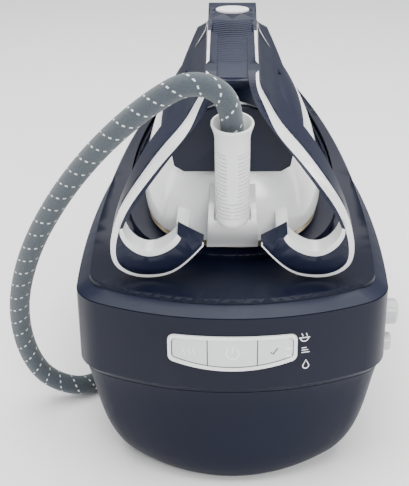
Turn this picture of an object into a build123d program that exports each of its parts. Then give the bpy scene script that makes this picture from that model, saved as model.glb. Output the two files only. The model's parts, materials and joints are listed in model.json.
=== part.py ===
"""Steam generator iron: a base with boiler, pump and water tank, and the iron on its rest.

Millimetres, +Z up. The control panel faces -Y and +X is the user's right hand. The origin
is at the middle of the footprint, on the surface that the base stands on. Pieces of the
iron are drawn in the iron's own frame (X across, Y from heel to nose, Z up from the
soleplate) and then placed on the sloping rest.
"""
import math
import os

from build123d import *

os.makedirs("parts", exist_ok=True)

# ---------------------------------------------------------------- base: overall sizes
HALF_WIDTH = 119.5  # widest half of the casing
FRONT_Y = -199.0  # middle of the front face
BACK_Y = 199.0  # middle of the rear face
CORNER_X = 115.0  # front corners before they are rounded
CORNER_Y = -165.0
REAR_X = 104.0
REAR_Y = 140.0
SIDE_Y = -70.0  # where the sides bulge most
CORNER_R = 34.0
WALL = 2.8
JOINT_GAP = 0.4  # shadow gap between two casings
FIT = 0.15  # clearance where one fixed piece seats in another
RUN = 0.5  # clearance round a piece that slides or turns

FOOT_H = 3.0
TUB_TOP = 85.0
BAND_TOP = 147.5
COLLAR_TOP = 154.0
TUB_STEP = 3.0  # how far the tub stands in from the band
COLLAR_STEP = 9.5  # how far the collar slopes inwards
TUB_SECTIONS = ((0.0, 42.0, 12.0), (8.0, 30.0, 6.5), (34.0, 15.0, 3.5))  # rise, side and end insets

# ---------------------------------------------------------------- iron rest and top cover
TILT = 14.0  # slope of the rest, nose up
IRON_Y = -112.0  # heel end of the soleplate, on the rest
IRON_Z = 171.0
COVER_CREST = ((-192.0, 158.6), (-118.0, 159.2), (-92.0, 164.0), (-58.0, 180.0), (-18.0, 197.0),
               (40.0, 215.0), (100.0, 238.0), (142.0, 250.0), (172.0, 240.0), (196.0, 205.0))
BAY_GAP = 15.0  # shadow groove round the iron, at its widest
TRAY_T = 2.4
PAD_H = 3.0

# ---------------------------------------------------------------- iron
SOLE_HALF = 69.5
SOLE_REAR = -12.0
SOLE_NOSE = 274.0
SOLE_T = 6.0
SKIRT_TOP = 55.0
SKIRT_WALL = 2.4
BODY_TOP = 67.0
GRIP_HALF = 18.6
GRIP_TOP = 129.0
GRIP_REAR = 15.0
CAP_REAR = 104.0
HEEL_U = -47.0  # plane that the iron stands on when it is upright
TRIM_T = 4.6
TRIM_DEPTH = 4.0

# ---------------------------------------------------------------- hose and its sleeve
HOSE_D = 16.0
SLEEVE_U = -27.0
SLEEVE_FOOT = 38.0
SLEEVE_TOP = 121.0
SLEEVE_R = 12.2
SLEEVE_MOUTH_R = 14.8
SLEEVE_BORE = 8.6
HOSE_START = 104.0  # height inside the sleeve where the free hose begins
COIL_R = 88.0
COIL_GAP = 14.0  # from the rear face to the coil


def mirror_x(point):
    """The same point on the other side of the middle."""
    return -point[0], point[1]


def plan(z, side=0.0, front=0.0, radius=CORNER_R):
    """The casing's outline at height z, moved in by `side` at the flanks and `front` at the ends."""
    corner = (CORNER_X - side, CORNER_Y + 0.75 * front + 0.15 * side)
    rear = (REAR_X - side, REAR_Y - 0.75 * front - 0.15 * side)
    flank = (HALF_WIDTH - side, SIDE_Y)
    nose, tail = (0, FRONT_Y + front), (0, BACK_Y - front)
    edges = [
        ThreePointArc(mirror_x(corner), nose, corner),
        ThreePointArc(corner, flank, rear),
        ThreePointArc(rear, tail, mirror_x(rear)),
        ThreePointArc(mirror_x(rear), mirror_x(flank), mirror_x(corner)),
    ]
    face = make_face(edges)
    return Pos(0, 0, z) * fillet(face.vertices(), radius)


def prism(z0, z1, side=0.0, front=0.0):
    """The casing's outline as an upright block."""
    return extrude(plan(z0, side, front), z1 - z0)


def spline_face(points, plane=Plane.XY):
    """A face inside one smooth closed line through the points."""
    return make_face(plane * Spline(*points, periodic=True))


def box(x0, x1, y0, y1, z0, z1):
    """A block given by its limits."""
    return Pos((x0 + x1) / 2, (y0 + y1) / 2, (z0 + z1) / 2) * Box(x1 - x0, y1 - y0, z1 - z0)


def rod_x(x0, x1, y, z, r):
    """A round bar along X."""
    return Pos((x0 + x1) / 2, y, z) * Rot(0, 90, 0) * Cylinder(r, x1 - x0)


def rod_y(y0, y1, x, z, r):
    """A round bar along Y."""
    return Pos(x, (y0 + y1) / 2, z) * Rot(90, 0, 0) * Cylinder(r, y1 - y0)


def rod_z(z0, z1, x, y, r):
    """A round bar along Z."""
    return Pos(x, y, (z0 + z1) / 2) * Cylinder(r, z1 - z0)


def pipe(points, radius, bend):
    """A tube's outer shape along straight runs joined by arcs."""
    path = FilletPolyline(*points, radius=bend)
    return sweep(Plane(path @ 0, z_dir=path % 0) * Circle(radius), path)


parts = {}

# ---------------------------------------------------------------- base: tub, band, collar
tub_levels = [(FOOT_H + rise, side, front) for rise, side, front in TUB_SECTIONS]
tub_levels.append((TUB_TOP, TUB_STEP, TUB_STEP))
tub_outer = loft([plan(z, side, front) for z, side, front in tub_levels])
inner_levels = [(z + (WALL if z < TUB_TOP else 1.0), side + WALL, front + WALL) for z, side,
                front in tub_levels]
tub_inner = loft([plan(z, side, front) for z, side, front in inner_levels])

TANK_HALF = 88.0
TANK_FRONT = 104.0
TANK_FLOOR = 62.0
TANK_WALL = 2.4
HOSE_GLAND = (COIL_R - 15.0, 34.0)
INLET = (-48.0, 34.0)
GLAND_R = 13.0

tank_bay = box(-TANK_HALF - WALL, TANK_HALF + WALL, TANK_FRONT - WALL, BACK_Y + 20, TANK_FLOOR - WALL, 160)
lower_tub = tub_outer - tub_inner - tank_bay
for x, z in (HOSE_GLAND, INLET):
    lower_tub -= rod_y(100, BACK_Y + 10, x, z, GLAND_R - 3 + FIT)

band_low = TUB_TOP + JOINT_GAP
BAND_CHAMFER = 5.0
band_outer = loft([plan(band_low, TUB_STEP, TUB_STEP), plan(band_low + BAND_CHAMFER)])
band_outer += prism(band_low + BAND_CHAMFER, BAND_TOP)
band_casing = band_outer - prism(TUB_TOP, BAND_TOP + 1, TUB_STEP + WALL, TUB_STEP + WALL) - tank_bay

collar_low = BAND_TOP + JOINT_GAP
collar_ring = loft([plan(collar_low, 0.6, 0.6), plan(COLLAR_TOP, COLLAR_STEP, COLLAR_STEP)])
collar_ring -= prism(collar_low - 1, COLLAR_TOP + 1, COLLAR_STEP + WALL, COLLAR_STEP + WALL)

# ---------------------------------------------------------------- iron outline, in its own frame
OUTLINE = ((0.0, 0.0), (0.46, 0.018), (0.76, 0.066), (0.935, 0.15), (1.0, 0.31), (0.95, 0.48),
           (0.75, 0.69), (0.46, 0.874), (0.2, 0.972), (0.0, 1.0))
ON_REST = Pos(0, IRON_Y, IRON_Z) * Rot(TILT, 0, 0)


def iron_outline(w, half, rear, nose):
    """The iron's outline at height w above the soleplate: one smooth closed line."""
    right = [(half * x, rear + (nose - rear) * u) for x, u in OUTLINE]
    left = [(-x, u) for x, u in reversed(right[1:-1])]
    return Pos(0, 0, w) * spline_face(right + left)


def iron_block(w0, w1, half, rear, nose):
    """An upright block with the iron's outline."""
    return extrude(iron_outline(w0, half, rear, nose), w1 - w0)


# ---------------------------------------------------------------- top cover and rest
COVER_LEVELS = ((COLLAR_TOP + JOINT_GAP, COLLAR_STEP, COLLAR_STEP), (198.0, 25.0, 18.0),
                (228.0, 46.0, 30.0), (262.0, 76.0, 52.0))
COVER_R = 22.0


def crest_block(drop):
    """Everything below the side view of the cover, lowered by `drop`."""
    points = [(y, z - drop) for y, z in COVER_CREST]
    crest = Spline(*points)
    floor_z = 120.0
    ends = Polyline(points[-1], (points[-1][0], floor_z), (points[0][0], floor_z), points[0])
    return extrude(Plane.YZ * make_face([crest, *ends.edges()]), 200, both=True)


def cover_block(wall):
    """The cover's outside, or its inside one wall in."""
    levels = [(z - (wall if z > 200 else wall / 2), s + wall, fr + wall) for z, s, fr in COVER_LEVELS]
    return loft([plan(z, s, fr, COVER_R) for z, s, fr in levels]) & crest_block(wall)


bay_floor = -PAD_H - TRAY_T
TRAY_SKIRT = 26.0
bay_cut = ON_REST * iron_block(-TRAY_SKIRT - 1, 150, SOLE_HALF + BAY_GAP, SOLE_REAR - BAY_GAP / 3,
                               SOLE_NOSE + 4)
top_cover = cover_block(0) - cover_block(WALL) - bay_cut

TRAY_DROP = 5.0


def tray_block(w0, w1, wall):
    """The rest tray's outline as a block, moved in by `wall`."""
    half = SOLE_HALF + BAY_GAP - 2 * FIT - wall
    rear = SOLE_REAR - BAY_GAP / 3 + FIT + wall
    return iron_block(w0, w1, half, rear, SOLE_NOSE + 4 - 2 * FIT - wall)


tray_wall_low = tray_block(-TRAY_SKIRT, bay_floor, 0) - tray_block(-TRAY_SKIRT, bay_floor, TRAY_T)
tray_wall_high = tray_block(-PAD_H, 90, 0) - tray_block(-PAD_H, 90, TRAY_T)
rest_tray = ON_REST * (tray_wall_low + tray_block(bay_floor, -PAD_H, 0))
rest_tray += (ON_REST * tray_wall_high) & crest_block(TRAY_DROP)
PADS = ((-42.0, 46.0), (42.0, 46.0), (-40.0, 150.0), (40.0, 150.0), (0.0, 232.0))
PAD_R = 7.0
rest_pads = Compound([ON_REST * rod_z(-PAD_H, -0.1, x, u, PAD_R) for x, u in PADS])

FEET = ((-54.0, -132.0), (54.0, -132.0), (0.0, 0.0), (-52.0, 112.0), (52.0, 112.0))  # one under the boiler
FOOT_R = 11.0
rubber_feet = Compound([rod_z(0, FOOT_H, x, y, FOOT_R) for x, y in FEET])

# ---------------------------------------------------------------- control panel
PANEL_HALF = 46.4
PANEL_TOP = 133.8
PANEL_SIDE_Z = 113.0
PANEL_LOW = 106.0
PANEL_R = 5.0
BEZEL_RIM = 2.6
BEZEL_PROUD = 1.3
KEY_PROUD = 0.6
KEY_DEPTH = 3.2
KEY_TRAVEL = 1.0
KEY_GAP = 0.5
KEY_EDGES = (-17.9, 17.9)
LENS_X, LENS_Z, LENS_STEP = 38.5, 121.5, 6.0


def panel_block(inset):
    """The panel's outline, flat on top and bowed below, as a block through the front wall."""
    half, top = PANEL_HALF - inset, PANEL_TOP - inset
    side, low = PANEL_SIDE_Z + inset, PANEL_LOW + inset
    edges = [Line((-half, side), (-half, top)), Line((-half, top), (half, top)),
             Line((half, top), (half, side)),
             ThreePointArc((half, side), (0, low), (-half, side))]
    face = make_face(edges)
    face = fillet(face.vertices(), PANEL_R - inset * 0.6)
    return extrude(Plane((0, FRONT_Y - 8, 0), x_dir=(1, 0, 0), z_dir=(0, 1, 0)) * Rot(180, 0, 0) * face,
                   40, both=True)


def front_skin(outside, depth):
    """A layer of the front wall: from `outside` proud of it to `depth` inside it."""
    layer = prism(80, 150, -outside, -outside) - prism(79, 151, depth, depth)
    return layer & box(-60, 60, FRONT_Y - 10, FRONT_Y + 40, 80, 150)


panel_bezel = (panel_block(0) - panel_block(BEZEL_RIM)) & front_skin(BEZEL_PROUD, KEY_DEPTH)
band_casing -= panel_block(-FIT)
key_stock = panel_block(BEZEL_RIM + KEY_GAP) & front_skin(KEY_PROUD, KEY_DEPTH)
key_limits = (-PANEL_HALF, *KEY_EDGES, PANEL_HALF)
keys = []
for left, right in zip(key_limits[:-1], key_limits[1:]):
    keys.append(key_stock & box(left + KEY_GAP / 2, right - KEY_GAP / 2, FRONT_Y - 10, FRONT_Y + 40, 90, 145))
lens_stock = [box(LENS_X, LENS_X + 4, FRONT_Y - 10, FRONT_Y + 20, z, z + 1.6) for z in (LENS_Z,
                                                                                        LENS_Z - LENS_STEP)]
indicator_lenses = Compound([(lens & front_skin(KEY_PROUD + 0.15, KEY_DEPTH)) for lens in lens_stock])
for lens in lens_stock:
    keys[2] -= lens

BOARD_Y = FRONT_Y + 22.0
panel_board = box(-50, 50, BOARD_Y, BOARD_Y + 1.6, 98, 140)
SWITCH_XS = (-31.0, 0.0, 28.0)
switch_face = FRONT_Y + 6.6
key_switches = Compound([
    box(x - 3.2, x + 3.2, BOARD_Y - 4, BOARD_Y, 116.5, 123) + rod_y(switch_face + KEY_TRAVEL + 0.3,
                                                                    BOARD_Y - 4, x, 119.8, 1.7)
    for x in SWITCH_XS])

# ---------------------------------------------------------------- boiler and what is round it
BOILER_Y, BOILER_Z, BOILER_R = -98.0, 100.0, 36.0
BOILER_X0, BOILER_X1 = -72.0, 88.0
SHELL_T = 1.6
boiler = rod_x(BOILER_X0, BOILER_X1, BOILER_Y, BOILER_Z, BOILER_R)
boiler = fillet(boiler.edges().filter_by(GeomType.CIRCLE), 10)
boiler_shell = boiler - rod_x(BOILER_X0 + SHELL_T, BOILER_X1 - SHELL_T, BOILER_Y, BOILER_Z,
                              BOILER_R - SHELL_T - 4)
CAP_Y, CAP_Z, CAP_R = BOILER_Y, 99.0, 10.5
PLUG_Y, PLUG_Z, PLUG_R = BOILER_Y, 71.0, 7.5
PORT_R = 6.5
CAP_SEAT = 121.0
PLUG_SEAT = 115.0
PLUG_OUT = 15.0
CAP_OUT = 12.5
ROD_R = 3.4
ROD_IN = 70.0
ports = rod_x(BOILER_X1 - 4, CAP_SEAT - 6, CAP_Y, CAP_Z, PORT_R) + rod_x(BOILER_X1 - 4, PLUG_SEAT - 4,
                                                                         PLUG_Y, PLUG_Z, PORT_R - 1)
boiler_shell += ports
boiler_shell -= rod_x(BOILER_X1 - 12, CAP_SEAT, CAP_Y, CAP_Z, PORT_R - 1.8)
boiler_shell -= rod_x(BOILER_X1 - 12, PLUG_SEAT, PLUG_Y, PLUG_Z, PORT_R - 2.8)

scale_cap = rod_x(CAP_SEAT - 5, CAP_SEAT + CAP_OUT, CAP_Y, CAP_Z, CAP_R)
scale_cap = fillet(scale_cap.faces().sort_by(Axis.X)[-1].edges(), 3.0)
scale_cap -= rod_x(CAP_SEAT - 6, CAP_SEAT + 5, CAP_Y, CAP_Z, ROD_R + 1.2 + RUN)
scale_rod = rod_x(CAP_SEAT - ROD_IN, CAP_SEAT + 4.6, CAP_Y, CAP_Z, ROD_R)
for step in range(6):
    x = CAP_SEAT - ROD_IN + 6 + 5 * step
    scale_rod -= rod_x(x, x + 2, CAP_Y, CAP_Z, ROD_R + 1) - rod_x(x, x + 2, CAP_Y, CAP_Z, ROD_R - 1.2)
scale_rod += rod_x(CAP_SEAT + 3.4, CAP_SEAT + 4.6, CAP_Y, CAP_Z, ROD_R + 1.2)
seal_x = BOILER_X1 + 6
scale_seal = rod_x(seal_x, seal_x + 3, CAP_Y, CAP_Z, PORT_R - 1.8 - FIT) - rod_x(seal_x, seal_x + 3,
                                                                                 CAP_Y, CAP_Z, ROD_R)
drain_plug = rod_x(PLUG_SEAT - 3, PLUG_SEAT + PLUG_OUT, PLUG_Y, PLUG_Z, PLUG_R)
drain_plug = fillet(drain_plug.faces().sort_by(Axis.X)[-1].edges(), 2.4)
drain_plug += rod_x(BOILER_X1 + 4, PLUG_SEAT - 3, PLUG_Y, PLUG_Z, PORT_R - 2.8 - RUN)
for seat in (rod_x(105, 140, CAP_Y, CAP_Z, CAP_R + RUN), rod_x(100, 140, PLUG_Y, PLUG_Z, PLUG_R + RUN)):
    band_casing -= seat
    lower_tub -= seat

boiler_heater = Pos(0, BOILER_Y, BOILER_Z - BOILER_R - 6) * Box(110, 26, 6)
boiler_heater -= rod_x(-80, 90, BOILER_Y, BOILER_Z, BOILER_R + 0.2)
boiler_brackets = Compound([
    box(x - 6, x + 6, BOILER_Y - 34, BOILER_Y + 34, 16, BOILER_Z - 18) - rod_x(x - 8, x + 8, BOILER_Y,
                                                                               BOILER_Z, BOILER_R + 0.1)
    - box(x - 8, x + 8, BOILER_Y - 24, BOILER_Y + 24, 24, 70) for x in (-62.0, 68.0)])
thermostat = box(30, 46, BOILER_Y + 34, BOILER_Y + 44, BOILER_Z - 8, BOILER_Z + 8)
thermostat -= rod_x(0, 60, BOILER_Y, BOILER_Z, BOILER_R + 0.2)
VALVE_X = -40.0
steam_valve = box(VALVE_X - 13, VALVE_X + 13, BOILER_Y + 8, BOILER_Y + 34, BOILER_Z + 24, BOILER_Z + 50)
steam_valve += rod_x(VALVE_X + 13, VALVE_X + 33, BOILER_Y + 21, BOILER_Z + 38, 9)
steam_valve -= rod_x(-90, 90, BOILER_Y, BOILER_Z, BOILER_R + 0.2)
PUMP_X, PUMP_Y, PUMP_Z = -52.0, 20.0, 40.0
pump = box(PUMP_X - 17, PUMP_X + 17, PUMP_Y - 20, PUMP_Y + 20, PUMP_Z - 17, PUMP_Z + 17)
pump = fillet(pump.edges().filter_by(Axis.Y), 4)
pump += rod_y(PUMP_Y - 38, PUMP_Y + 38, PUMP_X, PUMP_Z, 7)
pump_mounts = box(PUMP_X - 22, PUMP_X + 22, PUMP_Y - 14, PUMP_Y + 14, 14, PUMP_Z - 17)
power_board = box(84, 85.6, -20, 72, 34, 132)
power_board += box(68, 84, -6, 22, 40, 62) + box(74, 84, 36, 62, 44, 70)
TUBE_R = 3.2
SPIGOT_X, SPIGOT_Z, SPIGOT_R = 30.0, 78.0, 8.0
SOCKET_Y = TANK_FRONT - 22.0  # front end of the socket that the tank's spigot goes into
water_tube = pipe([(PUMP_X, PUMP_Y + 38, PUMP_Z), (PUMP_X, PUMP_Y + 50, PUMP_Z),
                   (SPIGOT_X, SOCKET_Y - 16, SPIGOT_Z),
                   (SPIGOT_X, SOCKET_Y - 0.2, SPIGOT_Z)], TUBE_R, [6, 6])
feed_tube = pipe([(PUMP_X, PUMP_Y - 38, PUMP_Z), (PUMP_X, BOILER_Y + 62, PUMP_Z),
                  (PUMP_X + 20, BOILER_Y + 46, 66),
                  (PUMP_X + 20, BOILER_Y + 40, 90), (PUMP_X + 20, BOILER_Y + 35.6, 91)], TUBE_R, [10, 8, 4])

# ---------------------------------------------------------------- water tank
tank_limits = box(-TANK_HALF, TANK_HALF, TANK_FRONT, BACK_Y + 20, TANK_FLOOR, BAND_TOP - 1)
tank_room = box(-TANK_HALF + TANK_WALL, TANK_HALF - TANK_WALL, TANK_FRONT + TANK_WALL, BACK_Y + 20,
                TANK_FLOOR + TANK_WALL, BAND_TOP - 1 - TANK_WALL)
water_tank = prism(TANK_FLOOR, BAND_TOP) & tank_limits
water_tank -= prism(TANK_FLOOR, BAND_TOP, TANK_WALL, TANK_WALL) & tank_room
FLAP_HALF, FLAP_LOW, FLAP_TOP = 26.0, 114.0, 138.0
flap_hole = box(-FLAP_HALF, FLAP_HALF, BACK_Y - 20, BACK_Y + 10, FLAP_LOW, FLAP_TOP)
water_tank -= flap_hole
flap_skin = prism(100, 145) - prism(99, 146, TANK_WALL, TANK_WALL)
filler_flap = flap_skin & box(-FLAP_HALF + RUN, FLAP_HALF - RUN, BACK_Y - 20, BACK_Y + 10, FLAP_LOW + 2.6,
                              FLAP_TOP - RUN)
HINGE_Y, HINGE_Z, PIN_R = BACK_Y - 5.2, FLAP_LOW + 2.6, 1.2
filler_flap += rod_x(-FLAP_HALF + 1, FLAP_HALF - 1, HINGE_Y, HINGE_Z, PIN_R + 1.0)
filler_flap -= rod_x(-FLAP_HALF, FLAP_HALF, HINGE_Y, HINGE_Z, PIN_R + 0.05)
flap_pin = rod_x(-FLAP_HALF - 3, FLAP_HALF + 3, HINGE_Y, HINGE_Z, PIN_R)
FLAP_SWING = BACK_Y - HINGE_Y + RUN  # radius that the flap's lower edge needs as it turns
water_tank -= rod_x(-FLAP_HALF - 0.5, FLAP_HALF + 0.5, HINGE_Y, HINGE_Z, FLAP_SWING)
water_tank -= box(-FLAP_HALF - 0.5, FLAP_HALF + 0.5, HINGE_Y, BACK_Y + 10, HINGE_Z - FLAP_SWING, HINGE_Z)
lug = rod_x(FLAP_HALF + RUN, FLAP_HALF + 4, HINGE_Y, HINGE_Z, PIN_R + 1.4) - rod_x(FLAP_HALF,
        FLAP_HALF + 5, HINGE_Y, HINGE_Z, PIN_R)
water_tank += lug + mirror(lug, Plane.YZ)
water_tank -= flap_pin
tank_valve = rod_y(TANK_FRONT - 10, TANK_FRONT, SPIGOT_X, SPIGOT_Z, SPIGOT_R)
tank_well = box(-TANK_HALF - WALL + FIT, TANK_HALF + WALL - FIT, TANK_FRONT - WALL + FIT, BACK_Y + 20,
                TANK_FLOOR - WALL + FIT, BAND_TOP)
tank_well -= box(-TANK_HALF - RUN, TANK_HALF + RUN, TANK_FRONT - RUN, BACK_Y + 21, TANK_FLOOR - RUN,
                 BAND_TOP + 1)
tank_well = tank_well & prism(40, 150, TUB_STEP + WALL + FIT, TUB_STEP + WALL + FIT)
tank_well += rod_y(SOCKET_Y, TANK_FRONT - RUN, SPIGOT_X, SPIGOT_Z, SPIGOT_R + 3)
tank_well -= rod_y(TANK_FRONT - 11, TANK_FRONT + 2, SPIGOT_X, SPIGOT_Z, SPIGOT_R + RUN)

# ---------------------------------------------------------------- rear glands and screws
GLAND_INSET = 7.5


def rear_wall(x):
    """Y of the rear wall's outside at X, at the glands' height."""
    inset = GLAND_INSET
    half, sag = REAR_X - inset, BACK_Y - REAR_Y - inset * 0.25
    radius = (half * half + sag * sag) / (2 * sag)
    return BACK_Y - inset - radius + math.sqrt(radius * radius - x * x)


def gland(x, z, bore):
    """A flanged, tapered bush through the rear of the tub, with its mouth facing +Y."""
    wall_y = rear_wall(x)
    body = Pos(x, wall_y + 1, z) * Rot(-90, 0,
            0) * loft([Circle(GLAND_R - 1).face(), Pos(0, 0, 17) * Circle(bore + 2.0).face()])
    body += rod_y(wall_y - 12, wall_y + 2, x, z, GLAND_R - 3)
    return body - rod_y(wall_y - 20, wall_y + 40, x, z, bore)


hose_gland = gland(*HOSE_GLAND, HOSE_D / 2 + 0.1)
inlet_gland = gland(*INLET, 3.8)
lower_tub -= hose_gland
lower_tub -= inlet_gland
SCREWS = ((-70.0, -40.0), (70.0, -40.0), (-66.0, 70.0), (66.0, 70.0), (0.0, -150.0), (0.0, 150.0))
housing_screws = Compound([rod_z(FOOT_H - 0.6, FOOT_H + 1.2, x, y, 3.4)
                           + rod_z(FOOT_H + 1.2, FOOT_H + 16, x, y, 1.7) for x, y in SCREWS])
for x, y in SCREWS:
    lower_tub -= rod_z(0, 30, x, y, 3.4 + FIT) & box(x - 5, x + 5, y - 5, y + 5, 0, FOOT_H + 1.2)
    lower_tub -= rod_z(0, 30, x, y, 1.7)


# ---------------------------------------------------------------- iron: soleplate, chamber, skirt, body
soleplate = iron_block(0, SOLE_T, SOLE_HALF, SOLE_REAR, SOLE_NOSE)
HOLE_R = 1.4
HOLES_PER_SIDE = 9
for step in range(HOLES_PER_SIDE):
    along = 0.30 + 0.58 * step / (HOLES_PER_SIDE - 1)
    reach = 0.72 * SOLE_HALF * math.sqrt(1 - along ** 2.4)
    for side in (-1, 1):
        soleplate -= rod_z(-1, SOLE_T + 1, side * reach, SOLE_REAR + along * (SOLE_NOSE - SOLE_REAR),
                           HOLE_R)
CHAMBER_TOP = 20.0
steam_chamber = iron_block(SOLE_T, CHAMBER_TOP, 52, 8, 238) - iron_block(SOLE_T + 3, CHAMBER_TOP - 4, 40,
                                                                         30, 214)
heater_path = [(-30, 24, CHAMBER_TOP - 1), (-33, 90, CHAMBER_TOP - 1), (-18, 170, CHAMBER_TOP - 1),
               (18, 170, CHAMBER_TOP - 1), (33, 90, CHAMBER_TOP - 1), (30, 24, CHAMBER_TOP - 1)]
HEATER_R = 3.2
heater_element = pipe(heater_path, HEATER_R, [40, 14, 14, 40])
steam_chamber -= heater_element
chamber_port = rod_y(2, 16, 0, 14, 4.4)
steam_chamber += chamber_port
chamber_lid = iron_block(CHAMBER_TOP + 2.6, CHAMBER_TOP + 4.0, 47, 16, 228)
heat_shield = iron_block(30, 32, 60, 2, 254)
SKIRT_LEVELS = ((SOLE_T + 0.2, 70.4, -13.0, 275.0), (20.0, 70.2, -12.6, 274.0), (38.0, 65.5, -5.0, 264.0),
                (SKIRT_TOP, 57.0, 10.0, 249.0))
BODY_LEVELS = ((SKIRT_TOP + 0.3, 56.6, 10.4, 248.6), (61.5, 50.5, 16.5, 242.0),
               (BODY_TOP, 38.0, 30.0, 224.0))


def iron_shell(levels, wall, floor_rise=0.0, roof_drop=0.0):
    """A lofted block through the levels, moved in by `wall`, with its ends moved in too."""
    rows = list(levels)
    faces = []
    for index, (w, half, rear, nose) in enumerate(rows):
        shift = floor_rise if index == 0 else (-roof_drop if index == len(rows) - 1 else 0.0)
        faces.append(iron_outline(w + shift, half - wall, rear + wall, nose - wall))
    return loft(faces)


skirt_block = iron_shell(SKIRT_LEVELS, 0)
skirt = skirt_block - iron_shell(SKIRT_LEVELS, SKIRT_WALL, -0.1, -0.1)
body_block = iron_shell(BODY_LEVELS, 0)
body_cover = body_block - iron_shell(BODY_LEVELS, SKIRT_WALL, -0.1, SKIRT_WALL)
heat_shield = heat_shield & iron_shell(SKIRT_LEVELS, SKIRT_WALL + FIT)

# ---------------------------------------------------------------- iron: handle
TO_SIDE = Plane.YZ
CAP_TOP = 132.4
grip_line = [(GRIP_REAR, GRIP_TOP - 0.5), (40, GRIP_TOP + 1), (75, GRIP_TOP + 0.5),
             (CAP_REAR, GRIP_TOP + 2), (112, CAP_TOP - 0.6),
             (122, CAP_TOP), (133, CAP_TOP - 1.6), (147, 123), (167, 106), (192, 83), (212, 66)]
under_line = [(212, 58), (140, 58), (131, 80), (122, 93), (108, 99.5), (84, 101), (58, 101.5), (36, 110),
              (GRIP_REAR, GRIP_TOP - 3)]
handle_side = make_face([*Spline(*grip_line).edges(), Line(grip_line[-1], under_line[0]),
                         Line(under_line[0], under_line[1]),
                         *Spline(*under_line[1:]).edges(), Line(under_line[-1], grip_line[0])])
handle = extrude(TO_SIDE * handle_side, 60, both=True)
post_line = [(GRIP_HALF, 96), (21, 90), (33, 74), (47, 57)]
front_view = make_face([Line((-GRIP_HALF, 150), (GRIP_HALF, 150)), Line((GRIP_HALF, 150), post_line[0]),
                        *Spline(*post_line).edges(),
                        Line(post_line[-1], (-post_line[-1][0], post_line[-1][1])),
                        *Spline(*[(-x, w) for x, w in reversed(post_line)]).edges(), Line((-GRIP_HALF,
                                96), (-GRIP_HALF, 150))])
ACROSS = Plane((0, 0, 0), x_dir=(1, 0, 0), z_dir=(0, -1, 0))
handle = handle & extrude(ACROSS * front_view, 300, both=True)
handle = handle & iron_block(50, 150, 55, -20, 246)

LEG_OUT = [(GRIP_HALF, 132), (19.8, 125), (23.5, 119.5), (31.5, 109), (47.5, 95.8), (64, 80), (77.3, 62),
           (84.4, 44),
           (87.2, 26), (84.2, 10.5), (73, 2.0), (59, 0.4), (46, 3.5), (33, 14), (20.6, 30)]
LEG_IN = [(11, 132), (13.2, 123.5), (18, 115), (25.5, 107), (40.5, 94), (56.5, 78), (69.5, 61), (77, 46)]
HOLE_LOW = [(77, 46), (73.2, 34), (61.3, 25), (49, 29), (39, 41)]
REAR_LINE = [(110, 130), (60, 131), (40, 131.5), (14, 129.5), (1, 117), (-12, 105), (-30, 89), (-42, 72),
             (HEEL_U, 52), (HEEL_U, 20), (HEEL_U, -1)]
FRONT_LINE = [(-34, -1), (-34, 22), (-33, 40), (-27, 54), (-14, 68), (4, 84), (24, 100), (56, 106),
              (110, 112)]


def leg_view(out_line):
    """Front view of the right leg with its foot and the loop between them."""
    edges = [*Spline(*out_line).edges(), Line(out_line[-1], HOLE_LOW[-1]),
             *Spline(*reversed(HOLE_LOW)).edges(), *Spline(*reversed(LEG_IN)).edges(), Line(LEG_IN[0],
                                                                                            out_line[0])]
    return make_face(edges)


def side_strip(line_a, line_b):
    """A side view bounded by two lines that run from the grip down to the heel."""
    faces = [*Spline(*line_a).edges(), Line(line_a[-1], line_b[0]), *Spline(*line_b).edges(),
             Line(line_b[-1], line_a[0])]
    return extrude(TO_SIDE * make_face(faces), 100, both=True)


leg_side = side_strip(REAR_LINE, FRONT_LINE)
leg = extrude(ACROSS * leg_view(LEG_OUT), 130, both=True) & leg_side
TRIM_SHARES = (0.45, 0.45, 0.55, 0.85, 1.0, 1.0, 1.0, 0.95, 0.8, 0.66, 0.55, 0.5, 0.4, 0.3, 0.25)
trim_in = []
for before, here, after, share in zip([LEG_OUT[0], *LEG_OUT[:-1]], LEG_OUT, [*LEG_OUT[1:], LEG_OUT[-1]],
                                      TRIM_SHARES):
    along = Vector(after[0] - before[0], after[1] - before[1], 0).normalized()
    trim_in.append((here[0] + along.Y * TRIM_T * share, here[1] - along.X * TRIM_T * share))
trim_view = make_face([*Spline(*LEG_OUT).edges(), Line(LEG_OUT[-1], trim_in[-1]),
                       *Spline(*reversed(trim_in)).edges(), Line(trim_in[0], LEG_OUT[0])])
strip_in = [(u + TRIM_DEPTH * (0.15 if u > 12 else 1),
             w - TRIM_DEPTH * (1 if u > 12 else 0.5 if w > 60 else 0)) for u, w in REAR_LINE]
trim_side = side_strip(REAR_LINE, list(reversed(strip_in)))
trim_right = (extrude(ACROSS * trim_view, 130, both=True) & trim_side) - box(-40, 40, CAP_REAR, 200, 0, 200)
trim_left = mirror(trim_right, Plane.YZ)
legs = leg + mirror(leg, Plane.YZ)
LINING_LOW = [(79.4, 45.2), (76.3, 31.5), (61.8, 20.4), (46.8, 24.8), (36.4, 37.4)]
lining_view = make_face([*Spline(*HOLE_LOW).edges(), Line(HOLE_LOW[-1], LINING_LOW[-1]),
                         *Spline(*reversed(LINING_LOW)).edges(), Line(LINING_LOW[0], HOLE_LOW[0])])
ARM_LOW, ARM_TOP = 24.0, 30.0
lining_right = extrude(ACROSS * lining_view, 130, both=True) & leg_side
arm_side = make_face(Polyline((HEEL_U + 2, ARM_LOW + 3), (HEEL_U + 2, ARM_TOP), (14, ARM_TOP), (14, 12),
                              (-30, ARM_LOW), close=True))
lining_right += extrude(TO_SIDE * arm_side, 60, both=True) & box(32, 41, -60, 20, 0, 60)
lining_right -= skirt_block
lining_left = mirror(lining_right, Plane.YZ) - skirt_block

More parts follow.
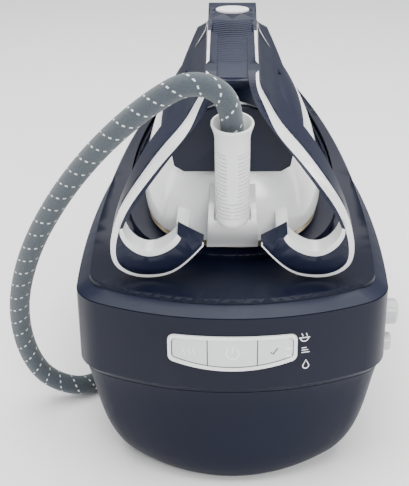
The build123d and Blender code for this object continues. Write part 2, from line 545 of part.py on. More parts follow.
sole_room = iron_block(-1, SOLE_T + 0.2, SOLE_HALF + FIT, SOLE_REAR - FIT, SOLE_NOSE)
lining_right -= sole_room
lining_left -= sole_room
handle_shell = handle + legs - sole_room
for piece in (trim_right, trim_left, lining_right, lining_left, skirt_block, body_block):
    handle_shell -= piece
front_cap_room = box(-40, 40, CAP_REAR, 152, 112, 160)
front_cap = (handle_shell & front_cap_room)
handle_shell -= front_cap_room
BUTTON_U, BUTTON_RX, BUTTON_RY, BUTTON_H = 118.0, 13.0, 5.6, 5.0
BUTTON_PROUD = 1.6
button_w = CAP_TOP - 0.6
top_button = Pos(0, BUTTON_U, button_w + BUTTON_PROUD - BUTTON_H) * extrude(Ellipse(BUTTON_RX, BUTTON_RY),
                                                                            BUTTON_H)
top_button = fillet(top_button.faces().sort_by(Axis.Z)[-1].edges(), 1.2)
well_view = Ellipse(BUTTON_RX + RUN, BUTTON_RY + RUN)
button_well = Pos(0, BUTTON_U, button_w - BUTTON_H - 2) * extrude(well_view, 30)
front_cap -= button_well
button_switch = box(-4, 4, BUTTON_U - 4, BUTTON_U + 4, button_w - BUTTON_H - 8, button_w - BUTTON_H - 2.1)
front_cap -= button_switch

INSERT_HALF = 14.6
INSERT_T = 2.6
insert_room = box(-INSERT_HALF, INSERT_HALF, GRIP_REAR + 3, CAP_REAR - 0.6, 90, 160)
insert_top = [(u, w + 0.3) for u, w in grip_line[:4]]
insert_low = [(u, w - INSERT_T) for u, w in reversed(grip_line[:4])]
insert_view = make_face([*Spline(*insert_top).edges(), Line(insert_top[-1], insert_low[0]),
                         *Spline(*insert_low).edges(),
                         Line(insert_low[-1], insert_top[0])])
grip_insert = extrude(TO_SIDE * insert_view, 40, both=True) & insert_room
handle_shell -= grip_insert

TRIGGER_HALF = 8.0
PIN_U, PIN_W = 112.0, 101.0
trigger_line = [(82, 98.5), (90, 102), (112, 104), (115.4, 101), (112, 96), (98, 91), (84, 93)]
trigger_face = make_face(Polyline(*trigger_line, close=True))
steam_trigger = extrude(TO_SIDE * fillet(trigger_face.vertices(), 1.6), TRIGGER_HALF, both=True)
steam_trigger -= rod_x(-20, 20, PIN_U, PIN_W, 1.5 + 0.05)
trigger_pin = rod_x(-TRIGGER_HALF - 4, TRIGGER_HALF + 4, PIN_U, PIN_W, 1.5)
handle_shell -= box(-TRIGGER_HALF - RUN, TRIGGER_HALF + RUN, 79, 118, 88, 107.5)
handle_shell -= trigger_pin
micro_switch = box(-3.2, 3.2, 86, 98, 107.7, 113.5)
handle_shell -= micro_switch

rear_view = [(-10.6, 104), (10.6, 104), (18.6, 100.6), (34.6, 89.6), (46, 76), (43, 60), (36, 56),
             (-36, 56), (-43, 60), (-46, 76),
             (-34.6, 89.6), (-18.6, 100.6)]
rear_face = fillet(make_face(Polyline(*rear_view, close=True)).vertices(), 2.0)
rear_strip = make_face(Polyline((8, 55), (12, 55), (26.5, 105), (22.5, 105), close=True))
rear_cover = extrude(ACROSS * rear_face, 130, both=True) & extrude(TO_SIDE * rear_strip, 60, both=True)
rear_cover -= legs
rear_cover -= skirt_block
body_cover -= rear_cover
handle_shell -= rear_cover

# ---------------------------------------------------------------- iron: hose block and sleeve
BLOCK_TOP, BLOCK_LOW = 48.0, 3.0
block_view = make_face(Polyline((-17, BLOCK_TOP), (17, BLOCK_TOP), (19.4, BLOCK_LOW), (-19.4, BLOCK_LOW),
                                close=True))
block_side = make_face([Line((-20, BLOCK_TOP), (12, BLOCK_TOP)), Line((12, BLOCK_TOP), (12, BLOCK_LOW + 6)),
                        Line((12, BLOCK_LOW + 6), (-15, BLOCK_LOW)), *Spline((-15, BLOCK_LOW), (-24, 22),
                                (-28, 36), (-20, BLOCK_TOP)).edges()])
heel_block = extrude(ACROSS * block_view, 130, both=True) & extrude(TO_SIDE * block_side, 40, both=True)
heel_block -= skirt_block
heel_block -= sole_room
notch = rod_z(SLEEVE_FOOT - 0.2, 90, 0, SLEEVE_U, SLEEVE_R + 1.2) + box(-SLEEVE_R - 1.2, SLEEVE_R + 1.2,
        -60, SLEEVE_U, SLEEVE_FOOT - 0.2, 90)
heel_block -= notch
for piece in (trim_right, trim_left):
    heel_block -= piece
handle_shell -= extrude(ACROSS * block_view, 130, both=True) & box(-30, 30, -60, 14, 0, BLOCK_TOP + 0.3)

GROOVE_STEP = 5.4
GROOVES = 11
sleeve_face = make_face(Polyline((SLEEVE_BORE, SLEEVE_FOOT + 30), (SLEEVE_BORE, SLEEVE_TOP - 16),
                                 (SLEEVE_MOUTH_R - 2, SLEEVE_TOP - 0.8),
                                 (SLEEVE_MOUTH_R - 1, SLEEVE_TOP), (SLEEVE_MOUTH_R,
                                         SLEEVE_TOP - 1), (SLEEVE_MOUTH_R - 0.4, SLEEVE_TOP - 3),
                                 (SLEEVE_R, SLEEVE_TOP - 11), (SLEEVE_R - 0.2,
                                         SLEEVE_FOOT + 6), (SLEEVE_R - 2.6, SLEEVE_FOOT + 0.8),
                                 (SLEEVE_R - 6, SLEEVE_FOOT), (0, SLEEVE_FOOT), (0,
                                         SLEEVE_FOOT + 30), close=True))
anti_kink_sleeve = revolve(Plane.XZ * sleeve_face, Axis.Z)
for step in range(GROOVES):
    low = SLEEVE_FOOT + 9 + GROOVE_STEP * step
    ring = rod_z(low, low + 1.3, 0, 0, SLEEVE_R + 1) - rod_z(low, low + 1.3, 0, 0, SLEEVE_R - 1.6)
    bridges = box(-9, 9, -20, 20, low, low + 2) if step % 2 else box(-20, 20, -4, 4, low, low + 2)
    anti_kink_sleeve -= ring - bridges
anti_kink_sleeve = Pos(0, SLEEVE_U, 0) * anti_kink_sleeve
handle_shell -= rod_z(30, 130, 0, SLEEVE_U, SLEEVE_MOUTH_R + 1)
rear_cover -= rod_z(30, 130, 0, SLEEVE_U, SLEEVE_MOUTH_R + 1)
steam_inlet = rod_y(-13, 8, 0, 14, 2.4)
skirt -= rod_y(-20, 4, 0, 14, 2.4 + FIT)
heel_block -= rod_y(-13, 8, 0, 14, 2.4)
steam_chamber -= rod_y(-5, 34, 0, 14, 2.4)
IRON_SCREWS = ((-24.0, 40.0), (24.0, 40.0), (-20.0, 170.0), (20.0, 170.0))
iron_screws = Compound([rod_z(CHAMBER_TOP + 4.0, CHAMBER_TOP + 6, x, u, 3.0)
                        + rod_z(CHAMBER_TOP - 3, CHAMBER_TOP + 4, x, u, 1.6)
                        for x, u in IRON_SCREWS])
for x, u in IRON_SCREWS:
    bore = rod_z(CHAMBER_TOP - 3, CHAMBER_TOP + 4, x, u, 1.6)
    steam_chamber -= bore
    chamber_lid -= bore

# ---------------------------------------------------------------- hose: free run, coil and tail
start = ON_REST * Pos(0, SLEEVE_U, HOSE_START)
FLOOR_Z = HOSE_D / 2 + 0.2
COIL_Y = BACK_Y + COIL_GAP + COIL_R + HOSE_D / 2
COIL_X = HOSE_GLAND[0] - COIL_R
ROUTE = [tuple(start.position), (0.3, -169.5, 287), (-7, -174, 306), (-29, -177, 312.5), (-53, -173, 297.5),
         (-80, -162, 273), (-106, -148, 243), (-130, -134, 209), (-152, -121, 170), (-168, -106,
                                                                                     127), (-175, -93, 88),
         (-172, -84, 50), (-159, -78, 22), (-131, -72, FLOOR_Z), (-110, -50, FLOOR_Z), (-103, -8, FLOOR_Z),
         (-106, 60, FLOOR_Z), (-110, 124, FLOOR_Z), (COIL_X - COIL_R - 3, 190, FLOOR_Z),
         (COIL_X - COIL_R, 250, FLOOR_Z), (COIL_X - COIL_R, COIL_Y, FLOOR_Z)]


def corner_radii(points, share=0.45):
    """The largest arc that each corner of a route has room for."""
    radii = []
    for before, corner, after in zip(points[:-2], points[1:-1], points[2:]):
        run_in, run_out = Vector(*corner) - Vector(*before), Vector(*after) - Vector(*corner)
        turn = math.radians(run_in.get_angle(run_out))
        radii.append(share * min(run_in.length, run_out.length) / math.tan(turn / 2))
    return radii


def hose_tube(points):
    """The hose's outer shape along a route, with the radii and the volume printed as a check."""
    radii = corner_radii(points)
    path = FilletPolyline(*points, radius=radii)
    tube = sweep(Plane(path @ 0, z_dir=path % 0) * Circle(HOSE_D / 2), path)
    expected = math.pi * (HOSE_D / 2) ** 2 * path.length
    print("radii", [round(r) for r in radii], "length", round(path.length), "volume ratio",
          round(tube.volume / expected, 4))
    return tube


hose_run = hose_tube(ROUTE)
TAIL = [(HOSE_GLAND[0], COIL_Y, FLOOR_Z + HOSE_D), (HOSE_GLAND[0], COIL_Y - 34, FLOOR_Z + HOSE_D),
        (HOSE_GLAND[0], COIL_Y - 66, HOSE_GLAND[1] - 0.5), (HOSE_GLAND[0], rear_wall(HOSE_GLAND[0]) + 2,
                                                            HOSE_GLAND[1])]
hose_tail = hose_tube(TAIL)
coil_axis = Axis((COIL_X, COIL_Y, 0), (0, 0, 1))


def coil_arc(z, from_deg, sweep_deg):
    """Part of one turn of the coil, clockwise from the side where the hose arrives."""
    section = Pos(COIL_X, COIL_Y, z) * Rot(0, 0, -from_deg) * Pos(-COIL_R, 0,
            0) * (Plane.XZ * Rectangle(HOSE_D - 0.2, HOSE_D))
    return revolve(section, coil_axis, -sweep_deg)


hose_coil = coil_arc(FLOOR_Z, 0, 320) + coil_arc(FLOOR_Z + HOSE_D, 290, 250)

base_parts = {
    "lower_tub": lower_tub, "band_casing": band_casing, "collar_ring": collar_ring, "top_cover": top_cover,
    "rest_tray": rest_tray, "rest_pads": rest_pads, "rubber_feet": rubber_feet, "panel_bezel": panel_bezel,
    "key_left": keys[0], "key_power": keys[1], "key_right": keys[2], "indicator_lenses": indicator_lenses,
    "panel_board": panel_board, "key_switches": key_switches, "boiler_shell": boiler_shell,
    "boiler_heater": boiler_heater, "inner_mounts": Compound([*boiler_brackets.solids(),
                                                              pump_mounts]), "thermostat": thermostat,
    "steam_valve": steam_valve, "pump": pump, "power_board": power_board,
    "water_tubes": Compound([water_tube, feed_tube]), "scale_cap": scale_cap, "scale_rod": scale_rod,
    "scale_seal": scale_seal, "drain_plug": drain_plug, "water_tank": water_tank, "filler_flap": filler_flap,
    "flap_pin": flap_pin, "tank_valve": tank_valve, "tank_well": tank_well,
    "hose_gland": hose_gland, "inlet_gland": inlet_gland, "housing_screws": housing_screws,
    "hose_run": hose_run, "hose_coil": hose_coil, "hose_tail": hose_tail,
}
iron_parts = {
    "soleplate": soleplate, "steam_chamber": steam_chamber,
    "heater_element": heater_element, "chamber_lid": chamber_lid,
    "heat_shield": heat_shield, "skirt": skirt, "body_cover": body_cover, "rear_cover": rear_cover,
    "handle_shell": handle_shell, "grip_insert": grip_insert,
    "front_cap": front_cap, "top_button": top_button,
    "handle_switches": Compound([button_switch,
                                 micro_switch]), "steam_trigger": steam_trigger, "trigger_pin": trigger_pin,
    "trim_left": trim_left, "trim_right": trim_right, "lining_left": lining_left,
    "lining_right": lining_right, "heel_block": heel_block, "anti_kink_sleeve": anti_kink_sleeve,
    "steam_inlet": steam_inlet, "iron_screws": iron_screws,
}
for name, shape in base_parts.items():
    export_step(shape, f"parts/{name}.step")
for name, shape in iron_parts.items():
    export_step(ON_REST * shape, f"parts/{name}.step")
print(len(base_parts) + len(iron_parts), "nodes")
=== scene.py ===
"""Looks of the steam generator iron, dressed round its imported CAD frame.

Metres throughout. Each sub-assembly is a class that builds and dresses its own pieces, and each
finish is a small frozen dataclass that writes its own material.
"""
from __future__ import annotations

import json
import logging
import math
from dataclasses import dataclass, field
from enum import Enum
from typing import Any, Sequence

import bmesh
import bpy
from mathutils import Matrix, Vector

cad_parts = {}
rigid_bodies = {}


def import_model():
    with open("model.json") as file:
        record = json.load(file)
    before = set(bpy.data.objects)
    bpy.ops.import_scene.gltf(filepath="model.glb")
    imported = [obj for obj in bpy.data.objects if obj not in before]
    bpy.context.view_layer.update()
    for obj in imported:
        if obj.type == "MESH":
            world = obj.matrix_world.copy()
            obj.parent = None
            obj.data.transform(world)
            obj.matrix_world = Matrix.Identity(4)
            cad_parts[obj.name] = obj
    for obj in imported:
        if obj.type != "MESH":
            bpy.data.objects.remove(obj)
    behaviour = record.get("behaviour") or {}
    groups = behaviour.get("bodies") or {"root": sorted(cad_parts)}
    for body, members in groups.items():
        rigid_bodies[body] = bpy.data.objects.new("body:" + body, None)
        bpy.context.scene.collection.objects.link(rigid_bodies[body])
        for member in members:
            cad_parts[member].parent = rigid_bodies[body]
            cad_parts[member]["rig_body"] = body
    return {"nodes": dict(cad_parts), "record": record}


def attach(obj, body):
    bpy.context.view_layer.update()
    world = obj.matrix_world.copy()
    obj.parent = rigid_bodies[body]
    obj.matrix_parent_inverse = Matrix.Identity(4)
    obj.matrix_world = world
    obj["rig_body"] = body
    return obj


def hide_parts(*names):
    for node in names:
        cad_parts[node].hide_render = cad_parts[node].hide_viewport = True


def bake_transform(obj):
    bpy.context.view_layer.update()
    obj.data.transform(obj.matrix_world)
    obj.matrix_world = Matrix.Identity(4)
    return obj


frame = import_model()

LOG = logging.getLogger("steam_iron")
MM = 0.001
TILT = math.radians(14.0)
REST_POINT = Vector((0.0, -112.0, 171.0)) * MM
ON_REST = Matrix.Translation(REST_POINT) @ Matrix.Rotation(TILT, 4, "X")
Pair = tuple[float, float]
Triple = tuple[float, float, float]


# ------------------------------------------------------------------ shader writing
class Value:
    """A shader value: wraps one output socket, or a plain number, and adds Math nodes when it is used."""

    def __init__(self, writer: "Writer", source: Any) -> None:
        """Keep the writer and the socket or number."""
        self.writer = writer
        self.source = source

    def _math(self, operation: str, *others: Any) -> "Value":
        """Add one Math node.

        Args:
            operation: the Math node's operation.
            others: further values, sockets or numbers.

        Returns:
            The new node's output.
        """
        return self.writer.node("ShaderNodeMath", {"operation": operation}, [self, *others])

    def __add__(self, other: Any) -> "Value":
        """Sum."""
        return self._math("ADD", other)

    def __radd__(self, other: Any) -> "Value":
        """Sum, with the number first."""
        return self._math("ADD", other)

    def __sub__(self, other: Any) -> "Value":
        """Difference."""
        return self._math("SUBTRACT", other)

    def __rsub__(self, other: Any) -> "Value":
        """Difference, with the number first."""
        return self.writer.node("ShaderNodeMath", {"operation": "SUBTRACT"}, [other, self])

    def __mul__(self, other: Any) -> "Value":
        """Product."""
        return self._math("MULTIPLY", other)

    def __rmul__(self, other: Any) -> "Value":
        """Product, with the number first."""
        return self._math("MULTIPLY", other)

    def __truediv__(self, other: Any) -> "Value":
        """Quotient."""
        return self._math("DIVIDE", other)

    def __lt__(self, other: Any) -> "Value":
        """1 where this is less than the other, else 0."""
        return self._math("LESS_THAN", other)

    def fract(self) -> "Value":
        """The part after the decimal point."""
        return self._math("FRACT")

    def abs(self) -> "Value":
        """Size without sign."""
        return self._math("ABSOLUTE")

    def sin(self) -> "Value":
        """Sine of this value in radians."""
        return self._math("SINE")

    def larger(self, other: Any) -> "Value":
        """The larger of two values."""
        return self._math("MAXIMUM", other)

    def soft(self, low: float, high: float) -> "Value":
        """A smooth step from 0 at `low` to 1 at `high`."""
        return self.writer.node("ShaderNodeMapRange", {"interpolation_type": "SMOOTHSTEP"},
                                {"Value": self, "From Min": low, "From Max": high})


class Writer:
    """Writes one material: a Principled shader and the nodes that feed it."""

    def __init__(self, name: str) -> None:
        """Start an empty material with a Principled shader."""
        self.material = bpy.data.materials.new(name)
        self.material.use_nodes = True
        self.tree = self.material.node_tree
        self.tree.nodes.clear()
        self.shader = self.tree.nodes.new("ShaderNodeBsdfPrincipled")
        output = self.tree.nodes.new("ShaderNodeOutputMaterial")
        self.tree.links.new(self.shader.outputs[0], output.inputs["Surface"])

    def node(self, kind: str, settings: dict[str, Any], inputs: Any = (), output: Any = 0) -> Value:
        """Add a node.

        Args:
            kind: the node's type name.
            settings: attributes that are set first.
            inputs: a list of values in socket order, or a dict by socket name.
            output: which output to give back.

        Returns:
            The chosen output as a Value.
        """
        made = self.tree.nodes.new(kind)
        for key, setting in settings.items():
            setattr(made, key, setting)
        pairs = inputs.items() if isinstance(inputs, dict) else enumerate(inputs)
        for key, given in pairs:
            self.feed(made.inputs[key], given)
        return Value(self, made.outputs[output])

    def feed(self, socket: Any, given: Any) -> None:
        """Link a Value to a socket, or set the socket's own number or colour."""
        source = given.source if isinstance(given, Value) else given
        if isinstance(source, bpy.types.NodeSocket):
            self.tree.links.new(source, socket)
        else:
            socket.default_value = source

    def place(self, scale: Triple = (1.0, 1.0, 1.0), turn: Triple = (0.0, 0.0, 0.0)) -> Value:
        """Object coordinates, scaled and turned."""
        spot = self.node("ShaderNodeTexCoord", {}, output="Object")
        return self.node("ShaderNodeMapping", {}, {"Vector": spot, "Scale": scale, "Rotation": turn})

    def noise(self, scale: float, detail: float = 3.0, where: Value | None = None,
              rough: float = 0.5) -> Value:
        """Noise from 0 to 1 at a scale in cells per metre."""
        spot = where or self.place()
        inputs = {"Vector": spot, "Scale": scale, "Detail": detail, "Roughness": rough}
        return self.node("ShaderNodeTexNoise", {}, inputs)

    def cells(self, scale: float, where: Value | None = None, output: str = "Distance") -> Value:
        """Voronoi cells at a scale in cells per metre."""
        spot = where or self.place()
        return self.node("ShaderNodeTexVoronoi", {}, {"Vector": spot, "Scale": scale}, output)

    def axis(self, name: str, where: Value | None = None) -> Value:
        """One coordinate of a position."""
        spot = where or self.place()
        return self.node("ShaderNodeSeparateXYZ", {}, [spot], name)

    def blend(self, factor: Any, first: Any, second: Any) -> Value:
        """Mix two colours."""
        made = self.tree.nodes.new("ShaderNodeMix")
        made.data_type = "RGBA"
        self.feed(made.inputs[0], factor)
        self.feed(made.inputs[6], first)
        self.feed(made.inputs[7], second)
        return Value(self, made.outputs[2])

    def bump(self, height: Value, distance: float, strength: float = 1.0) -> None:
        """Feed the shader's normal from a height."""
        inputs = {"Height": height, "Distance": distance, "Strength": strength}
        made = self.node("ShaderNodeBump", {}, inputs)
        self.feed(self.shader.inputs["Normal"], made)

    def set(self, **values: Any) -> None:
        """Set or link the shader's sockets; underscores stand for spaces."""
        for key, given in values.items():
            self.feed(self.shader.inputs[key.replace("_", " ")], given)


def rgb(red: float, green: float, blue: float) -> tuple[float, float, float, float]:
    """A colour with full alpha."""
    return (red, green, blue, 1.0)


def shade(colour: Sequence[float], factor: float) -> tuple[float, float, float, float]:
    """A colour made lighter or darker."""
    return (min(colour[0] * factor, 1.0), min(colour[1] * factor, 1.0), min(colour[2] * factor, 1.0), 1.0)


@dataclass(frozen=True)
class Moulded:
    """Moulded plastic: fine grain, slow colour drift, handling marks and an optional pearl speckle."""

    name: str
    colour: tuple[float, float, float]
    roughness: float = 0.35
    grain: float = 1400.0
    grain_depth: float = 0.00002
    speckle: float = 0.0
    coat: float = 0.0
    specular: float = 0.5

    def write(self) -> bpy.types.Material:
        """Write the material."""
        pen = Writer(self.name)
        drift = pen.noise(9.0, 2.0)
        tone = pen.blend(drift.soft(0.3, 0.7), shade(self.colour, 0.93), shade(self.colour, 1.07))
        marks = pen.noise(55.0, 5.0).soft(0.52, 0.78)
        if self.speckle:
            fleck = (pen.cells(2600.0) < 0.16) * pen.noise(900.0, 1.0).soft(0.4, 0.65)
            tone = pen.blend(fleck * self.speckle, tone, shade(self.colour, 5.0))
        pen.set(Base_Color=tone, Roughness=self.roughness + marks * 0.05 - drift * 0.03,
                Coat_Weight=self.coat, Coat_Roughness=0.12, Specular_IOR_Level=self.specular)
        pen.bump(pen.noise(self.grain, 2.0), self.grain_depth, 0.6)
        return pen.material


@dataclass(frozen=True)
class Metal:
    """Drawn, cast or coated metal, with fine lines along one axis."""

    name: str
    colour: tuple[float, float, float]
    roughness: float = 0.3
    lines: Triple = (60.0, 60.0, 2600.0)
    depth: float = 0.00002
    metallic: float = 1.0

    def write(self) -> bpy.types.Material:
        """Write the material."""
        pen = Writer(self.name)
        streak = pen.noise(1.0, 3.0, pen.place(self.lines))
        stain = pen.noise(26.0, 4.0)
        tone = pen.blend(stain.soft(0.35, 0.7), shade(self.colour, 0.86), shade(self.colour, 1.08))
        pen.set(Base_Color=tone, Metallic=self.metallic, Roughness=self.roughness + streak * 0.14 - 0.05)
        pen.bump(streak, self.depth, 0.7)
        return pen.material


@dataclass(frozen=True)
class Clear:
    """Tinted translucent plastic."""

    name: str
    colour: tuple[float, float, float]
    alpha: float = 0.55

    def write(self) -> bpy.types.Material:
        """Write the material."""
        pen = Writer(self.name)
        haze = pen.noise(40.0, 4.0)
        tone = pen.blend(haze, shade(self.colour, 0.9), shade(self.colour, 1.1))
        pen.set(Base_Color=tone, Roughness=0.14 + haze * 0.12,
                Alpha=self.alpha + haze * 0.1, Coat_Weight=0.4)
        pen.bump(pen.noise(300.0, 2.0), 0.00002, 0.4)
        return pen.material


@dataclass(frozen=True)
class Board:
    """Circuit board with tracks."""

    name: str

    def write(self) -> bpy.types.Material:
        """Write the material."""
        pen = Writer(self.name)
        track = pen.cells(220.0).soft(0.3, 0.36)
        tone = pen.blend(track, rgb(0.012, 0.09, 0.035), rgb(0.03, 0.17, 0.07))
        pen.set(Base_Color=tone, Roughness=0.4 - track * 0.1)
        pen.bump(track, 0.00005, 0.6)
        return pen.material


@dataclass(frozen=True)
class Woven:
    """Braided hose sleeve with rows of pale flecks and painted shade in the weave's hollows; reads the
    hose's own UV: metres along, turns round.
    """

    name: str
    dark: tuple[float, float, float] = (0.022, 0.03, 0.037)
    pale: tuple[float, float, float] = (0.075, 0.095, 0.11)
    fleck: tuple[float, float, float] = (0.80, 0.82, 0.84)
    pitch: float = 0.029
    starts: float = 2.0
    flecks_per_turn: float = 9.0
    yarn: float = 0.00125

    def write(self) -> bpy.types.Material:
        """Write the material."""
        pen = Writer(self.name)
        spot = pen.node("ShaderNodeUVMap", {"uv_map": "hose"})
        along, turn = pen.axis("X", spot), pen.axis("Y", spot)
        cells_round = 36.0
        warp = (along / self.yarn + turn * cells_round) * math.pi
        weft = (along / self.yarn - turn * cells_round) * math.pi
        over = warp.sin().abs()
        under = weft.sin().abs()
        braid = over.larger(under * 0.9)
        fuzz = pen.noise(900.0, 3.0)
        # yarn crests are painted paler and the hollows between yarns darker, in step with the braid bump:
        # painted shade of the weave, over random fuzz
        tone = pen.blend((braid * 0.55 + fuzz * 0.6).soft(0.25, 1.05), rgb(*self.dark), rgb(*self.pale))
        wander = pen.noise(60.0, 1.0)
        helix = ((along / self.pitch) * self.starts - turn * self.starts + wander * 0.22).fract() - 0.5
        row = helix.abs() < 0.045
        dash = ((turn * self.flecks_per_turn) + (along / self.pitch) * 2.0).fract() < 0.44
        mark = row * dash
        tone = pen.blend(mark * 0.95, tone, rgb(*self.fleck))
        pen.set(Base_Color=tone, Roughness=0.86 - mark * 0.2, Sheen_Weight=0.3, Sheen_Roughness=0.5,
                Specular_IOR_Level=0.3)
        pen.bump(braid + mark * 0.6 + fuzz * 0.4, 0.0004, 0.75)
        return pen.material


@dataclass(frozen=True)
class Coated:
    """Glide coating of the soleplate, with fine grooves that follow the edge, painted darker in each groove
    and lighter on each crest as painted shade and highlight.
    """

    name: str
    colour: tuple[float, float, float]

    def write(self) -> bpy.types.Material:
        """Write the material."""
        pen = Writer(self.name)
        local = pen.place(turn=(-TILT, 0.0, 0.0))
        groove = (pen.axis("Z", local) * (2.0 * math.pi / 0.0011)).sin()
        stain = pen.noise(30.0, 4.0)
        # painted shade in each groove and painted highlight on each crest, in step with the groove bump
        tone = pen.blend(groove.soft(-0.4, 0.6), shade(self.colour, 0.45), shade(self.colour, 1.15))
        pen.set(Base_Color=tone, Metallic=0.75, Roughness=0.32 + stain * 0.12)
        pen.bump(groove, 0.0002, 0.8)
        return pen.material


NAVY = (0.0032, 0.005, 0.0155)


class Finish(Enum):
    """Every finish on the object."""

    NAVY_CASING = Moulded("navy_casing", NAVY, roughness=0.4, grain=2200.0, specular=0.2)
    NAVY_SPECKLE = Moulded("navy_speckle", (0.0055, 0.0085, 0.025), roughness=0.42, speckle=0.45,
                           grain=2600.0, specular=0.3)
    NAVY_TUB = Moulded("navy_tub", (0.0034, 0.0053, 0.0165), roughness=0.46, specular=0.18,
                       grain=1800.0, grain_depth=0.00003)
    NAVY_GRIP = Moulded("navy_grip", (0.007, 0.0105, 0.031), roughness=0.5, grain=1500.0,
                        grain_depth=0.00005, specular=0.3)
    WHITE_GLOSS = Moulded("white_gloss", (0.83, 0.835, 0.84), roughness=0.22, coat=0.5)
    WHITE_SATIN = Moulded("white_satin", (0.76, 0.765, 0.77), roughness=0.42, grain=1500.0,
                          grain_depth=0.00003)
    KEY_WHITE = Moulded("key_white", (0.66, 0.675, 0.69), roughness=0.34, coat=0.2)
    LENS_WHITE = Moulded("lens_white", (0.92, 0.92, 0.92), roughness=0.2, coat=0.6)
    CAP_GREY = Moulded("cap_grey", (0.56, 0.57, 0.58), roughness=0.3, coat=0.3)
    INNER_BLACK = Moulded("inner_black", (0.02, 0.02, 0.022), roughness=0.5, grain=900.0,
                          grain_depth=0.00006)
    INNER_GREY = Moulded("inner_grey", (0.22, 0.23, 0.24), roughness=0.45)
    SILICONE = Moulded("silicone", (0.035, 0.036, 0.04), roughness=0.62, grain=700.0, grain_depth=0.00005)
    SEAL_RED = Moulded("seal_red", (0.42, 0.07, 0.04), roughness=0.55)
    RUBBER = Moulded("foot_rubber", (0.018, 0.018, 0.019), roughness=0.7, grain=800.0, grain_depth=0.00008)
    MARK_DARK = Moulded("mark_dark", (0.05, 0.055, 0.07), roughness=0.4)
    MARK_WHITE = Moulded("mark_white", (0.88, 0.89, 0.9), roughness=0.35)
    SOLE = Coated("sole_bronze", (0.36, 0.30, 0.21))
    SOLE_EDGE = Metal("sole_edge", (0.42, 0.35, 0.25), roughness=0.3, lines=(40.0, 40.0, 900.0))
    CAST = Metal("cast_grey", (0.5, 0.5, 0.5), roughness=0.5, lines=(700.0, 700.0, 700.0), depth=0.0001)
    STEEL = Metal("boiler_steel", (0.55, 0.55, 0.56), roughness=0.28)
    HEATER = Metal("heater_steel", (0.3, 0.28, 0.26), roughness=0.45)
    SCREW = Metal("screw_steel", (0.58, 0.58, 0.6), roughness=0.3, lines=(900.0, 900.0, 60.0))
    BRASS = Metal("brass", (0.6, 0.43, 0.17), roughness=0.35)
    BOARD = Board("board_green")
    TANK = Clear("tank_clear", (0.05, 0.07, 0.14), alpha=0.72)
    HOSE = Woven("hose_textile")


class Wardrobe:
    """Writes each finish once and hands it out."""

    _made: dict[Finish, bpy.types.Material] = {}

    @classmethod
    def get(cls, finish: Finish) -> bpy.types.Material:
        """The material of a finish."""
        if finish not in cls._made:
            cls._made[finish] = finish.value.write()
        return cls._made[finish]


# ------------------------------------------------------------------ mesh helpers
def wear(piece: bpy.types.Object, finish: Finish) -> bpy.types.Object:
    """Give a piece one finish all over."""
    piece.data.materials.clear()
    piece.data.materials.append(Wardrobe.get(finish))
    return piece


def add_mesh(name: str, build: bmesh.types.BMesh) -> bpy.types.Object:
    """Turn a bmesh into an object at the origin, smooth where it is nearly flat."""
    mesh = bpy.data.meshes.new(name)
    build.to_mesh(mesh)
    build.free()
    piece = bpy.data.objects.new(name, mesh)
    bpy.context.scene.collection.objects.link(piece)
    soften(mesh)
    return piece


def close_rings(build: bmesh.types.BMesh, rings: Sequence[Sequence[bmesh.types.BMVert]]) -> None:
    """Join rings of points into one closed skin with outward faces."""
    sides = len(rings[0])
    for first, second in zip(rings[:-1], rings[1:]):
        for corner in range(sides):
            beyond = (corner + 1) % sides
            build.faces.new((first[corner], first[beyond], second[beyond], second[corner]))
    build.faces.new(list(reversed(rings[0])))
    build.faces.new(rings[-1])
    bmesh.ops.recalc_face_normals(build, faces=build.faces)


def soften(mesh: bpy.types.Mesh, angle: float = 32.0) -> None:
    """Shade a mesh smooth, with sharp edges over the angle in degrees."""
    mesh.polygons.foreach_set("use_smooth", [True] * len(mesh.polygons))
    mesh.set_sharp_from_angle(angle=math.radians(angle))


def settle(piece: bpy.types.Object) -> bpy.types.Object:
    """Turn a piece's modifiers into plain mesh."""
    bpy.context.view_layer.update()
    graph = bpy.context.evaluated_depsgraph_get()
    mesh = bpy.data.meshes.new_from_object(piece.evaluated_get(graph))
    piece.modifiers.clear()
    piece.data = mesh
    return piece


@dataclass
class Dresser:
    """Dresses CAD nodes: hidden ones in place, seen ones as merged, softened copies."""

    slots: dict[str, str] = field(default_factory=dict)

    def __post_init__(self) -> None:
        """Read which slot each node has."""
        for entry in frame["record"]["subparts"]:
            self.slots[entry["node"]] = entry["material_slot"]

    def inside(self, finish: Finish, *names: str) -> None:
        """Give CAD nodes a finish as they are."""
        for name in names:
            wear(frame["nodes"][name], finish)

    def shell(self, name: str, finish: Finish, angle: float = 32.0) -> bpy.types.Object:
        """Replace a CAD node with a softened copy.

        Args:
            name: the CAD node.
            finish: what it wears.
            angle: edges sharper than this, in degrees, stay crisp.

        Returns:
            The new piece.
        """
        source = frame["nodes"][name]
        build = bmesh.new()
        build.from_mesh(source.data)
        bmesh.ops.remove_doubles(build, verts=build.verts, dist=0.000004)
        bmesh.ops.dissolve_degenerate(build, edges=build.edges, dist=0.000002)
        piece = add_mesh(f"{name}_shell", build)
        soften(piece.data, angle)
        weigh = piece.modifiers.new("weigh", "WEIGHTED_NORMAL")
        weigh.keep_sharp = True
        weigh.weight = 70
        settle(piece)
        wear(piece, finish)
        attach(piece, source["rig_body"])
        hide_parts(name)
        LOG.info("shell %s", name)
        return piece


